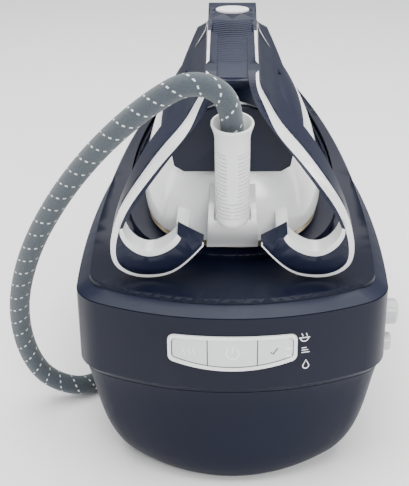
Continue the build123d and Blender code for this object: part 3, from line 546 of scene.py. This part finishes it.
# ------------------------------------------------------------------ sub-assemblies
@dataclass
class Base:
    """The base's casing and what it holds."""

    dresser: Dresser

    def dress(self) -> None:
        """Dress the outer shells and the inner pieces."""
        shells = {"lower_tub": Finish.NAVY_TUB, "band_casing": Finish.NAVY_CASING,
                  "collar_ring": Finish.NAVY_SPECKLE, "top_cover": Finish.NAVY_CASING,
                  "rest_tray": Finish.NAVY_CASING, "scale_cap": Finish.CAP_GREY,
                  "drain_plug": Finish.CAP_GREY, "water_tank": Finish.TANK,
                  "filler_flap": Finish.NAVY_CASING, "hose_gland": Finish.INNER_BLACK,
                  "inlet_gland": Finish.INNER_BLACK}
        for name, finish in shells.items():
            self.dresser.shell(name, finish)
        self.dresser.inside(Finish.NAVY_CASING, "tank_well")
        self.dresser.inside(Finish.SILICONE, "rest_pads")
        self.dresser.inside(Finish.RUBBER, "rubber_feet")
        self.dresser.inside(Finish.BOARD, "panel_board", "power_board")
        self.dresser.inside(Finish.STEEL, "boiler_shell")
        self.dresser.inside(Finish.HEATER, "boiler_heater")
        self.dresser.inside(Finish.INNER_BLACK, "inner_mounts", "thermostat", "key_switches")
        self.dresser.inside(Finish.INNER_GREY, "pump", "tank_valve")
        self.dresser.inside(Finish.BRASS, "steam_valve", "scale_rod")
        self.dresser.inside(Finish.SEAL_RED, "water_tubes", "scale_seal")
        self.dresser.inside(Finish.SCREW, "housing_screws", "flap_pin")


@dataclass
class FrontWall:
    """The curved front wall, which the panel's lines and marks lie on."""

    middle_y: float = -199.0 * MM
    radius: float = 211.5 * MM
    thickness: float = 0.12 * MM

    def surface(self, x: float, proud: float) -> float:
        """Y of the wall at X, moved out by `proud`."""
        return self.middle_y + self.radius - math.sqrt(self.radius ** 2 - x * x) - proud

    def fill(self, build: bmesh.types.BMesh, rows: Sequence[tuple[Pair, Pair]], proud: float,
             closed: bool) -> None:
        """Add one thin band between pairs of points.

        Args:
            build: the mesh to add to.
            rows: pairs of (x, z) in metres, one on each side of the band.
            proud: how far its outside stands off the wall.
            closed: whether the last pair joins the first.
        """
        rings = []
        for left, right in rows:
            corners = []
            deep = proud - self.thickness
            for (x, z), lift in ((left, proud), (right, proud), (right, deep), (left, deep)):
                corners.append(build.verts.new((x, self.surface(x, lift), z)))
            rings.append(corners)
        pairs = list(zip(rings[:-1], rings[1:])) + ([(rings[-1], rings[0])] if closed else [])
        for first, second in pairs:
            for corner in range(4):
                beyond = (corner + 1) % 4
                build.faces.new((first[corner], second[corner], second[beyond], first[beyond]))
        if not closed:
            build.faces.new(rings[0])
            build.faces.new(list(reversed(rings[-1])))

    def stroke(self, build: bmesh.types.BMesh, points: Sequence[Pair], width: float, proud: float,
               closed: bool = False) -> None:
        """Add a line of even width along points given as (x, z) in millimetres."""
        spots = [Vector(point) * MM for point in points]
        rows = []
        for index, spot in enumerate(spots):
            before = spots[index - 1] if closed or index else spot
            after = spots[(index + 1) % len(spots)] if closed or index < len(spots) - 1 else spot
            along = (after - before).normalized()
            side = Vector((-along.y, along.x)) * (width * MM / 2.0)
            rows.append((tuple(spot + side), tuple(spot - side)))
        self.fill(build, rows, proud, closed)


def arc(centre: Pair, radius: float, start: float, stop: float, count: int = 24) -> list[Pair]:
    """Points on an arc, with angles in degrees."""
    turns = [math.radians(start + (stop - start) * index / count) for index in range(count + 1)]
    return [(centre[0] + radius * math.cos(turn), centre[1] + radius * math.sin(turn)) for turn in turns]


@dataclass
class Panel:
    """Control panel: bezel, keys, the dark joints between them and their marks."""

    dresser: Dresser
    wall: FrontWall = field(default_factory=FrontWall)
    half: float = 43.6
    top: float = 131.0
    side_low: float = 115.7
    low: float = 108.8
    corner: float = 3.6
    splits: Pair = (-17.9, 17.9)
    joint: float = 0.7
    joint_proud: float = 0.72 * MM
    mark_proud: float = 0.78 * MM
    wall_proud: float = 0.15 * MM

    def dress(self) -> None:
        """Dress the bezel, keys and lenses, and add the joints and marks."""
        self.dresser.shell("panel_bezel", Finish.WHITE_GLOSS)
        for name in ("key_left", "key_power", "key_right"):
            self.dresser.shell(name, Finish.KEY_WHITE)
        self.dresser.shell("indicator_lenses", Finish.LENS_WHITE)
        self.joints()
        self.power_mark()
        self.key_marks()
        self.service_marks()

    def low_edge(self, x: float) -> float:
        """Height of the keys' bowed lower edge at X."""
        rise = self.side_low - self.low
        radius = (self.half ** 2 + rise ** 2) / (2.0 * rise)
        return self.low + radius - math.sqrt(radius ** 2 - x * x)

    def piece(self, name: str, build: bmesh.types.BMesh, finish: Finish, body: str, slot: str) -> None:
        """Finish a mark and let it ride on its body."""
        bmesh.ops.recalc_face_normals(build, faces=build.faces)
        mark = wear(add_mesh(name, build), finish)
        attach(mark, body)
        LOG.info("mark %s", name)

    def joints(self) -> None:
        """The dark joint round the keys and between them."""
        build = bmesh.new()
        inset = self.half - self.corner
        outline = arc((inset, self.top - self.corner), self.corner, 0.0, 90.0, 6)
        outline += arc((-inset, self.top - self.corner), self.corner, 90.0, 180.0, 6)
        steps = 28
        span = self.half - 0.6
        outline += [(-self.half, self.side_low + 3.0)]
        across = [-span + 2.0 * span * i / steps for i in range(steps + 1)]
        outline += [(x, self.low_edge(x)) for x in across]
        outline += [(self.half, self.side_low + 3.0)]
        self.wall.stroke(build, outline, self.joint, self.joint_proud, closed=True)
        for x in self.splits:
            self.wall.stroke(build, [(x, self.low_edge(x)), (x, self.top)], self.joint, self.joint_proud)
        self.piece("key_joints", build, Finish.INNER_BLACK, "base", "inner_black")

    def power_mark(self) -> None:
        """The usual power sign on the middle key."""
        build = bmesh.new()
        centre = (0.0, 120.4)
        self.wall.stroke(build, arc(centre, 4.6, 125.0, 415.0, 40), 1.05, self.mark_proud)
        self.wall.stroke(build, [(0.0, 120.8), (0.0, 126.4)], 1.05, self.mark_proud)
        self.piece("power_mark", build, Finish.MARK_WHITE, "key_power", "lens_white")

    def key_marks(self) -> None:
        """A pale steam sign on the left key and a dark tick on the right one."""
        build = bmesh.new()
        for shift in (-3.6, 0.0, 3.6):
            wave = [(-31.0 + shift + 0.8 * math.sin(step * 0.9), 117.6 + 0.75 * step) for step in range(9)]
            self.wall.stroke(build, wave, 0.8, self.mark_proud)
        self.piece("steam_mark", build, Finish.MARK_WHITE, "key_left", "lens_white")
        build = bmesh.new()
        self.wall.stroke(build, [(27.2, 120.6), (28.9, 118.7), (32.4, 123.4)], 0.9, self.mark_proud)
        self.piece("tick_mark", build, Finish.MARK_DARK, "key_right", "inner_black")

    def service_marks(self) -> None:
        """A drop and a scale sign on the wall beside the panel."""
        build = bmesh.new()
        drop = (53.0, 106.0)
        outline = arc(drop, 2.2, -215.0, 35.0, 20) + [(drop[0], drop[1] + 5.0)]
        self.wall.stroke(build, outline, 0.7, self.wall_proud, closed=True)
        bowl = (51.5, 129.6)
        self.wall.stroke(build, arc(bowl, 3.0, 180.0, 360.0, 16), 0.7, self.wall_proud)
        self.wall.stroke(build, [(bowl[0] - 4.0, bowl[1]), (bowl[0] + 4.0, bowl[1])], 0.7, self.wall_proud)
        for shift in (-1.6, 1.6):
            middle = bowl[0] + shift
            wave = [(middle + 0.5 * math.sin(step * 1.2), bowl[1] + 1.1 + 0.5 * step) for step in range(6)]
            self.wall.stroke(build, wave, 0.5, self.wall_proud)
        for row in range(3):
            z = 117.4 + row * 1.9
            self.wall.stroke(build, [(49.6, z), (49.6 + 6.0 - row * 1.2, z)], 0.6, self.wall_proud)
        self.piece("service_marks", build, Finish.MARK_WHITE, "base", "lens_white")


class Growth:
    """Builds one Geometry Nodes tree and turns its result into a plain mesh."""

    def __init__(self, name: str) -> None:
        """Start a tree with a geometry input and output."""
        self.tree = bpy.data.node_groups.new(name, "GeometryNodeTree")
        self.tree.interface.new_socket("Geometry", in_out="INPUT", socket_type="NodeSocketGeometry")
        self.tree.interface.new_socket("Geometry", in_out="OUTPUT", socket_type="NodeSocketGeometry")
        self.entry = self.tree.nodes.new("NodeGroupInput")
        self.exit = self.tree.nodes.new("NodeGroupOutput")
        self.keys: dict[str, str] = {}

    def size(self, name: str, kind: str = "NodeSocketFloat") -> Any:
        """Add a named input and give back its socket."""
        made = self.tree.interface.new_socket(name, in_out="INPUT", socket_type=kind)
        self.keys[name] = made.identifier
        return self.entry.outputs[name]

    def node(self, kind: str, settings: dict[str, Any], inputs: dict[Any, Any], output: Any = 0) -> Any:
        """Add a node.

        Args:
            kind: the node's type name.
            settings: attributes that are set first.
            inputs: sockets by name or number, each a link or a value.
            output: which output to give back.

        Returns:
            The chosen output socket.
        """
        made = self.tree.nodes.new(kind)
        for key, setting in settings.items():
            setattr(made, key, setting)
        for key, given in inputs.items():
            if isinstance(given, bpy.types.NodeSocket):
                self.tree.links.new(given, made.inputs[key])
            else:
                made.inputs[key].default_value = given
        return made.outputs[output]

    def finish(self, shape: Any, finish: Finish) -> None:
        """End the tree with Realize Instances and Set Material."""
        real = self.node("GeometryNodeRealizeInstances", {}, {0: shape})
        inputs = {"Geometry": real, "Material": Wardrobe.get(finish)}
        dressed = self.node("GeometryNodeSetMaterial", {}, inputs)
        self.tree.links.new(dressed, self.exit.inputs[0])

    def grow(self, piece: bpy.types.Object, values: dict[str, Any], place: Matrix) -> bpy.types.Object:
        """Run the tree on a piece and keep the result as its mesh.

        Args:
            piece: the object whose mesh the tree starts from.
            values: a value for each named input.
            place: matrix that the finished mesh is moved by.

        Returns:
            The same piece with its new mesh.
        """
        modifier = piece.modifiers.new("grow", "NODES")
        modifier.node_group = self.tree
        for name, given in values.items():
            modifier[self.keys[name]] = given
        settle(piece)
        piece.data.transform(place)
        soften(piece.data, 40.0)
        return piece


def line_mesh(name: str, points: Sequence[Triple], closed: bool = False) -> bpy.types.Object:
    """An object that is one line of edges through points given in millimetres."""
    mesh = bpy.data.meshes.new(name)
    edges = [(i, i + 1) for i in range(len(points) - 1)] + ([(len(points) - 1, 0)] if closed else [])
    mesh.from_pydata([Vector(p) * MM for p in points], edges, [])
    piece = bpy.data.objects.new(name, mesh)
    bpy.context.scene.collection.objects.link(piece)
    return piece


@dataclass
class GripRibs:
    """Fine curved ribs across the grip."""

    count: int = 30
    half_width: float = 14.4 * MM
    bow: float = 2.6 * MM
    rib_radius: float = 1.0 * MM
    rib_flat: float = 0.6
    top_line: Sequence[Pair] = ((20.0, 128.9), (40.0, 130.1), (75.0, 129.7), (101.5, 130.9))

    def build(self) -> None:
        """Grow the ribs along the grip's top line."""
        growth = Growth("grip_ribs")
        count = growth.size("Ribs", "NodeSocketInt")
        half, bow, thick = growth.size("Half Width"), growth.size("Bow"), growth.size("Thickness")
        track = growth.node("GeometryNodeMeshToCurve", {}, {0: growth.entry.outputs[0]})
        track = growth.node("GeometryNodeResampleCurve", {}, {"Curve": track, "Count": count})
        minus = growth.node("ShaderNodeMath", {"operation": "MULTIPLY"}, {0: half, 1: -1.0})
        bow_low = growth.node("ShaderNodeMath", {"operation": "MULTIPLY"}, {0: bow, 1: -1.0})
        left = growth.node("ShaderNodeCombineXYZ", {}, {0: minus, 1: bow})
        right = growth.node("ShaderNodeCombineXYZ", {}, {0: half, 1: bow})
        middle = growth.node("ShaderNodeCombineXYZ", {}, {0: 0.0, 1: bow_low})
        bend = {"Resolution": 14, "Start": left, "Middle": middle, "End": right}
        rib = growth.node("GeometryNodeCurveQuadraticBezier", {}, bend)
        section = growth.node("GeometryNodeCurvePrimitiveCircle", {}, {"Resolution": 8, "Radius": thick})
        sweep = {"Curve": rib, "Profile Curve": section, "Fill Caps": True}
        bar = growth.node("GeometryNodeCurveToMesh", {}, sweep)
        flat = {"Geometry": bar, "Scale": (1.0, 1.0, self.rib_flat)}
        bar = growth.node("GeometryNodeTransform", {}, flat)
        row = growth.node("GeometryNodeInstanceOnPoints", {}, {"Points": track, "Instance": bar})
        growth.finish(row, Finish.NAVY_GRIP)
        base = line_mesh("grip_ribs", [(0.0, u, w) for u, w in self.top_line])
        sizes = {"Ribs": self.count, "Half Width": self.half_width, "Bow": self.bow,
                 "Thickness": self.rib_radius}
        piece = growth.grow(base, sizes, ON_REST)
        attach(piece, "iron")
        LOG.info("grip ribs")


@dataclass
class SoleRibs:
    """Fine ribs round the soleplate's edge."""

    half: float = 69.5
    rear: float = -12.0
    nose: float = 274.0
    count: int = 5
    low: float = 0.9 * MM
    high: float = 5.2 * MM
    rib_radius: float = 0.42 * MM
    outline: Sequence[Pair] = ((0.0, 0.0), (0.46, 0.018), (0.76, 0.066), (0.935, 0.15), (1.0, 0.31),
                               (0.95, 0.48), (0.75, 0.69), (0.46, 0.874), (0.2, 0.972), (0.0, 1.0))

    def build(self) -> None:
        """Sweep one rib round the sole's outline and stack it."""
        growth = Growth("sole_ribs")
        count = growth.size("Ribs", "NodeSocketInt")
        low, high, thick = growth.size("Low"), growth.size("High"), growth.size("Thickness")
        track = growth.node("GeometryNodeMeshToCurve", {}, {0: growth.entry.outputs[0]})
        track = growth.node("GeometryNodeCurveSplineType", {"spline_type": "CATMULL_ROM"}, {"Curve": track})
        track = growth.node("GeometryNodeResampleCurve", {}, {"Curve": track, "Count": 160})
        section = growth.node("GeometryNodeCurvePrimitiveCircle", {}, {"Resolution": 6, "Radius": thick})
        rib = growth.node("GeometryNodeCurveToMesh", {}, {"Curve": track, "Profile Curve": section})
        start = growth.node("ShaderNodeCombineXYZ", {}, {2: low})
        stop = growth.node("ShaderNodeCombineXYZ", {}, {2: high})
        ends = {"Count": count, "Start Location": start, "Offset": stop}
        stack = growth.node("GeometryNodeMeshLine", {"mode": "END_POINTS"}, ends)
        rows = growth.node("GeometryNodeInstanceOnPoints", {}, {"Points": stack, "Instance": rib})
        growth.finish(rows, Finish.SOLE_EDGE)
        right = [(self.half * x, self.rear + (self.nose - self.rear) * u, 0.0) for x, u in self.outline]
        left = [(-x, u, w) for x, u, w in reversed(right[1:-1])]
        base = line_mesh("sole_ribs", right + left, closed=True)
        sizes = {"Ribs": self.count, "Low": self.low, "High": self.high, "Thickness": self.rib_radius}
        piece = growth.grow(base, sizes, ON_REST)
        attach(piece, "iron")
        LOG.info("sole ribs")


@dataclass
class Sleeve:
    """The hose's anti-kink sleeve: a turned tube with grooves on both sides and a flared mouth."""

    place_u: float = -27.0
    foot: float = 38.2
    bore: float = 8.75
    sides: int = 96
    step: float = 0.3
    outside: Sequence[Pair] = ((38.2, 9.6), (39.2, 11.4), (42.0, 12.2), (108.0, 12.2), (112.0, 12.6),
                               (115.5, 13.5), (118.0, 14.3), (119.6, 14.75), (120.5, 14.6), (121.0, 13.9))
    inside: Sequence[Pair] = ((120.6, 13.1), (119.0, 12.5), (112.0, 10.2), (105.0, 8.75), (68.0, 8.75))
    groove_low: float = 47.0
    groove_high: float = 101.0
    groove_pitch: float = 3.15
    groove_width: float = 0.95
    groove_depth: float = 1.5

    def radius(self, height: float) -> float:
        """Radius of the plain outside at a height."""
        for (low, first), (high, second) in zip(self.outside[:-1], self.outside[1:]):
            if low <= height <= high:
                share = (height - low) / (high - low)
                share = share * share * (3.0 - 2.0 * share) if high - low > 10.0 else share
                return first + (second - first) * share
        return self.outside[-1][1]

    def cut(self, height: float, turn: float) -> float:
        """Depth of the groove at a height and an angle from the back."""
        if not self.groove_low <= height <= self.groove_high:
            return 0.0
        phase = (height - self.groove_low) % self.groove_pitch
        index = int((height - self.groove_low) / self.groove_pitch)
        across = 1.0 if phase < self.groove_width else 0.0
        side = abs(math.sin(turn))
        bridge = 0.34 if index > 4 else (0.16 if index % 2 else -1.0)
        return self.groove_depth * across if side > bridge else 0.0

    def build(self) -> None:
        """Turn the sleeve."""
        build = bmesh.new()
        count = int((self.outside[-1][0] - self.foot) / self.step)
        heights = [self.foot + self.step * index for index in range(count + 1)]
        rings = []
        rows = [(height, None) for height in heights] + [(h, r) for h, r in self.inside]
        for height, radius in rows:
            ring = []
            for corner in range(self.sides):
                turn = 2.0 * math.pi * corner / self.sides
                reach = radius if radius is not None else self.radius(height) - self.cut(height, turn)
                spot = Vector((reach * math.sin(turn), self.place_u - reach * math.cos(turn), height)) * MM
                ring.append(build.verts.new(ON_REST @ spot))
            rings.append(ring)
        close_rings(build, rings)
        piece = wear(add_mesh("hose_sleeve", build), Finish.WHITE_SATIN)
        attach(piece, "iron")
        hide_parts("anti_kink_sleeve")
        LOG.info("sleeve")


@dataclass
class Iron:
    """The iron on its rest."""

    dresser: Dresser

    def dress(self) -> None:
        """Dress the iron's pieces."""
        shells = {"soleplate": Finish.SOLE, "skirt": Finish.WHITE_GLOSS, "body_cover": Finish.NAVY_SPECKLE,
                  "rear_cover": Finish.NAVY_SPECKLE, "handle_shell": Finish.NAVY_SPECKLE,
                  "grip_insert": Finish.NAVY_GRIP, "front_cap": Finish.NAVY_SPECKLE,
                  "top_button": Finish.WHITE_SATIN, "steam_trigger": Finish.INNER_GREY}
        for name, finish in shells.items():
            self.dresser.shell(name, finish)
        for name in ("trim_left", "trim_right", "lining_left", "lining_right", "heel_block"):
            self.dresser.shell(name, Finish.WHITE_GLOSS)
        self.dresser.inside(Finish.CAST, "steam_chamber")
        self.dresser.inside(Finish.HEATER, "heater_element")
        self.dresser.inside(Finish.STEEL, "chamber_lid")
        self.dresser.inside(Finish.INNER_BLACK, "heat_shield", "handle_switches")
        self.dresser.inside(Finish.SCREW, "trigger_pin", "iron_screws")
        self.dresser.inside(Finish.BRASS, "steam_inlet")
        Sleeve().build()
        GripRibs().build()
        SoleRibs().build()
        self.painted_highlights()

    def painted_highlights(self) -> None:
        """Painted highlights: a pale bead along the rear cover's edge and two pale wedges under the front
        cap, standing in for light glancing off the iron.
        """
        build = bmesh.new()
        # painted highlight: a pale bead along the rear cover's top edge
        bead = [Vector((x, 24.4, 105.4 - x * x * 0.017)) * MM for x in range(-20, 21, 2)]
        self.bead(build, [ON_REST @ spot for spot in bead], 1.1 * MM)
        # painted highlights: two pale wedges, one each side under the front cap
        for side in (-1.0, 1.0):
            wedge = ((18.9, 98.5, 131.0), (20.4, 96.0, 125.4), (24.1, 93.6, 120.0), (28.6, 91.5, 113.6))
            rows = []
            for x, u, w in wedge:
                width = (w - 113.0) * 0.28
                reach = side * (x + 0.35)
                rows.append([ON_REST @ (Vector((reach, along, w)) * MM) for along in (u, u + width)])
            for (a, b), (c, d) in zip(rows[:-1], rows[1:]):
                corners = [build.verts.new(spot) for spot in (a, b, d, c)]
                build.faces.new(corners if side > 0 else list(reversed(corners)))
        bmesh.ops.remove_doubles(build, verts=build.verts, dist=0.00001)
        piece = wear(add_mesh("painted_highlight_strips", build), Finish.CAP_GREY)
        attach(piece, "iron")

    def bead(self, build: bmesh.types.BMesh, path: Sequence[Vector], radius: float, sides: int = 8) -> None:
        """Add a thin round bead along a path."""
        rings = []
        for index, spot in enumerate(path):
            along = (path[min(index + 1, len(path) - 1)] - path[max(index - 1, 0)]).normalized()
            first = along.cross(Vector((0.0, 1.0, 0.0))).normalized()
            second = along.cross(first)
            turns = [2.0 * math.pi * corner / sides for corner in range(sides)]
            offsets = [(first * math.cos(turn) + second * math.sin(turn)) * radius for turn in turns]
            rings.append([build.verts.new(spot + offset) for offset in offsets])
        close_rings(build, rings)


@dataclass
class Hose:
    """The woven steam hose: one free length from the sleeve, round the base and into the rear gland."""

    diameter: float = 16.0 * MM
    floor: float = 8.2 * MM
    coil_radius: float = 88.0 * MM
    coil_middle: Pair = (-15.0 * MM, 309.0 * MM)
    coil_turns: float = 1.5
    points_per_turn: int = 12
    sides: int = 28
    step: float = 2.4 * MM

    def route(self) -> list[Vector]:
        """The route's points: listed where the hose runs free, a loop for the coil, then the tail."""
        free = [(0.0, -163.4, 265.4), (0.3, -169.5, 287.0), (-7.0, -174.0, 306.0),
                (-29.0, -177.0, 312.5), (-53.0, -173.0, 297.5), (-80.0, -162.0, 273.0),
                (-106.0, -148.0, 243.0), (-130.0, -134.0, 209.0), (-152.0, -121.0, 170.0),
                (-168.0, -106.0, 127.0), (-175.0, -93.0, 88.0), (-172.0, -84.0, 50.0),
                (-159.0, -78.0, 22.0), (-131.0, -72.0, 8.2), (-110.0, -50.0, 8.2),
                (-103.0, -8.0, 8.2), (-106.0, 60.0, 8.2), (-110.0, 124.0, 8.2),
                (-106.0, 190.0, 8.2), (-103.0, 250.0, 8.2)]
        tail = [(73.0, 275.0, 24.2), (73.0, 243.0, 33.5), (73.0, 186.0, 34.0), (73.0, 170.0, 34.0)]
        points = [Vector(p) * MM for p in free]
        count = int(self.coil_turns * self.points_per_turn)
        for index in range(count + 1):
            part = index / self.points_per_turn
            turn = math.pi - part * 2.0 * math.pi
            climb = min(max((part - 0.78) / 0.2, 0.0), 1.0)
            rise = climb * climb * (3.0 - 2.0 * climb) * self.diameter
            x = self.coil_middle[0] + self.coil_radius * math.cos(turn)
            y = self.coil_middle[1] + self.coil_radius * math.sin(turn)
            points.append(Vector((x, y, self.floor + rise)))
        return points + [Vector(p) * MM for p in tail]

    def line(self) -> list[Vector]:
        """Evenly spaced points read from the route's smooth spline."""
        curve = bpy.data.curves.new("hose_route", "CURVE")
        curve.dimensions = "3D"
        curve.resolution_u = 16
        spline = curve.splines.new("NURBS")
        points = self.route()
        spline.points.add(len(points) - 1)
        for point, spot in zip(spline.points, points):
            point.co = (*spot, 1.0)
        spline.order_u = 3
        spline.use_endpoint_u = True
        holder = bpy.data.objects.new("hose_route", curve)
        bpy.context.scene.collection.objects.link(holder)
        bpy.context.view_layer.update()
        graph = bpy.context.evaluated_depsgraph_get()
        mesh = bpy.data.meshes.new_from_object(holder.evaluated_get(graph))
        raw = [v.co.copy() for v in mesh.vertices]
        bpy.data.objects.remove(holder)
        return evenly(raw, self.step)

    def build(self) -> bpy.types.Object:
        path = self.line()
        length = sum((b - a).length for a, b in zip(path[:-1], path[1:]))
        piece = tube("steam_hose", path, self.diameter / 2.0, self.sides, "hose")
        wear(piece, Finish.HOSE)
        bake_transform(piece)
        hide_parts("hose_run", "hose_coil", "hose_tail")
        LOG.info("hose %.3f m", length)
        return piece


def evenly(raw: Sequence[Vector], step: float) -> list[Vector]:
    """Points spaced evenly along a line of points.

    Args:
        raw: the line.
        step: spacing wanted.

    Returns:
        The new points, the first and last as given.
    """
    total = sum((b - a).length for a, b in zip(raw[:-1], raw[1:]))
    count = max(int(round(total / step)), 2)
    wanted = [total * i / count for i in range(count + 1)]
    result, walked, index = [], 0.0, 0
    for goal in wanted:
        while index < len(raw) - 2 and walked + (raw[index + 1] - raw[index]).length < goal:
            walked += (raw[index + 1] - raw[index]).length
            index += 1
        run = raw[index + 1] - raw[index]
        share = (goal - walked) / run.length if run.length else 0.0
        result.append(raw[index] + run * min(max(share, 0.0), 1.0))
    return result


def tube(name: str, path: Sequence[Vector], radius: float, sides: int, uv_name: str) -> bpy.types.Object:
    """A closed round tube along a path, with its UV in metres along and turns round.

    Args:
        name: the piece's name.
        path: evenly spaced points.
        radius: the tube's radius.
        sides: points round it.
        uv_name: the UV map's name.

    Returns:
        The new piece.
    """
    build = bmesh.new()
    layer = build.loops.layers.uv.new(uv_name)
    normal = Vector((1.0, 0.0, 0.0))
    rings, lengths, walked = [], [], 0.0
    for index, spot in enumerate(path):
        before, after = path[max(index - 1, 0)], path[min(index + 1, len(path) - 1)]
        along = (after - before).normalized()
        normal = (normal - along * normal.dot(along)).normalized()
        side = along.cross(normal)
        ring = []
        for corner in range(sides):
            turn = 2.0 * math.pi * corner / sides
            ring.append(build.verts.new(spot + (normal * math.cos(turn) + side * math.sin(turn)) * radius))
        rings.append(ring)
        lengths.append(walked)
        walked += (after - spot).length
    for first, second, start, stop in zip(rings[:-1], rings[1:], lengths[:-1], lengths[1:]):
        for corner in range(sides):
            beyond = (corner + 1) % sides
            face = build.faces.new((first[corner], first[beyond], second[beyond], second[corner]))
            marks = ((start, corner), (start, corner + 1), (stop, corner + 1), (stop, corner))
            for loop, (reach, place) in zip(face.loops, marks):
                loop[layer].uv = (reach, place / sides)
    build.faces.new(list(reversed(rings[0])))
    build.faces.new(rings[-1])
    bmesh.ops.recalc_face_normals(build, faces=build.faces)
    return add_mesh(name, build)


# ------------------------------------------------------------------ studio
@dataclass
class Studio:
    """Floor, soft lights and the camera."""

    eye: Triple = (0.0, -0.809, 0.4913)
    look_down: float = math.radians(25.0)
    lens: float = 73.93
    shift: float = -0.0574

    def build(self) -> None:
        """Set up the floor, the world, the lights and the camera."""
        self.floor()
        self.world()
        self.lamp("overhead", (0.0, 0.1, 2.0), (2.4, 2.4), 95.0, (0.0, 0.0, 0.0))
        self.lamp("front_soft", (0.5, -1.6, 1.1), (0.9, 0.6), 22.0, (0.0, 0.0, 0.15))
        self.lamp("edge_left", (-1.4, -0.3, 0.5), (0.3, 1.2), 5.0, (0.0, 0.0, 0.12))
        self.lamp("edge_right", (1.4, -0.3, 0.5), (0.3, 1.2), 5.0, (0.0, 0.0, 0.12))
        self.camera()

    def floor(self) -> None:
        """A plain pale floor."""
        build = bmesh.new()
        reach = 4.0
        bmesh.ops.create_grid(build, x_segments=2, y_segments=2, size=reach)
        piece = add_mesh("studio_floor", build)
        pen = Writer("studio_floor")
        pen.set(Base_Color=rgb(0.92, 0.92, 0.92), Roughness=0.9, Specular_IOR_Level=0.1)
        piece.data.materials.append(pen.material)

    def world(self) -> None:
        """Even white surroundings."""
        world = bpy.data.worlds.new("studio")
        world.use_nodes = True
        world.node_tree.nodes["Background"].inputs[0].default_value = rgb(1.0, 1.0, 1.0)
        world.node_tree.nodes["Background"].inputs[1].default_value = 0.55
        bpy.context.scene.world = world

    def lamp(self, name: str, spot: Triple, size: Pair, power: float, aim: Triple) -> None:
        """A soft rectangular light that points at `aim`."""
        data = bpy.data.lights.new(name, "AREA")
        data.shape = "RECTANGLE"
        data.size, data.size_y = size
        data.energy = power
        lamp = bpy.data.objects.new(name, data)
        lamp.location = spot
        lamp.rotation_euler = (Vector(aim) - Vector(spot)).to_track_quat("-Z", "Y").to_euler()
        bpy.context.scene.collection.objects.link(lamp)

    def camera(self) -> None:
        """The camera, level in X and looking down at the front."""
        data = bpy.data.cameras.new("camera")
        data.lens = self.lens
        data.sensor_width = 36.0
        data.shift_x = self.shift
        camera = bpy.data.objects.new("camera", data)
        camera.location = self.eye
        camera.rotation_euler = (math.pi / 2.0 - self.look_down, 0.0, 0.0)
        bpy.context.scene.collection.objects.link(camera)
        bpy.context.scene.camera = camera


def main() -> None:
    """Build the sub-assemblies in order."""
    logging.basicConfig(level=logging.INFO)
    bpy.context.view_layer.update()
    Studio().build()
    Hose().build()
    dresser = Dresser()
    Base(dresser).dress()
    Panel(dresser).dress()
    Iron(dresser).dress()


if __name__ == "__main__":
    main()
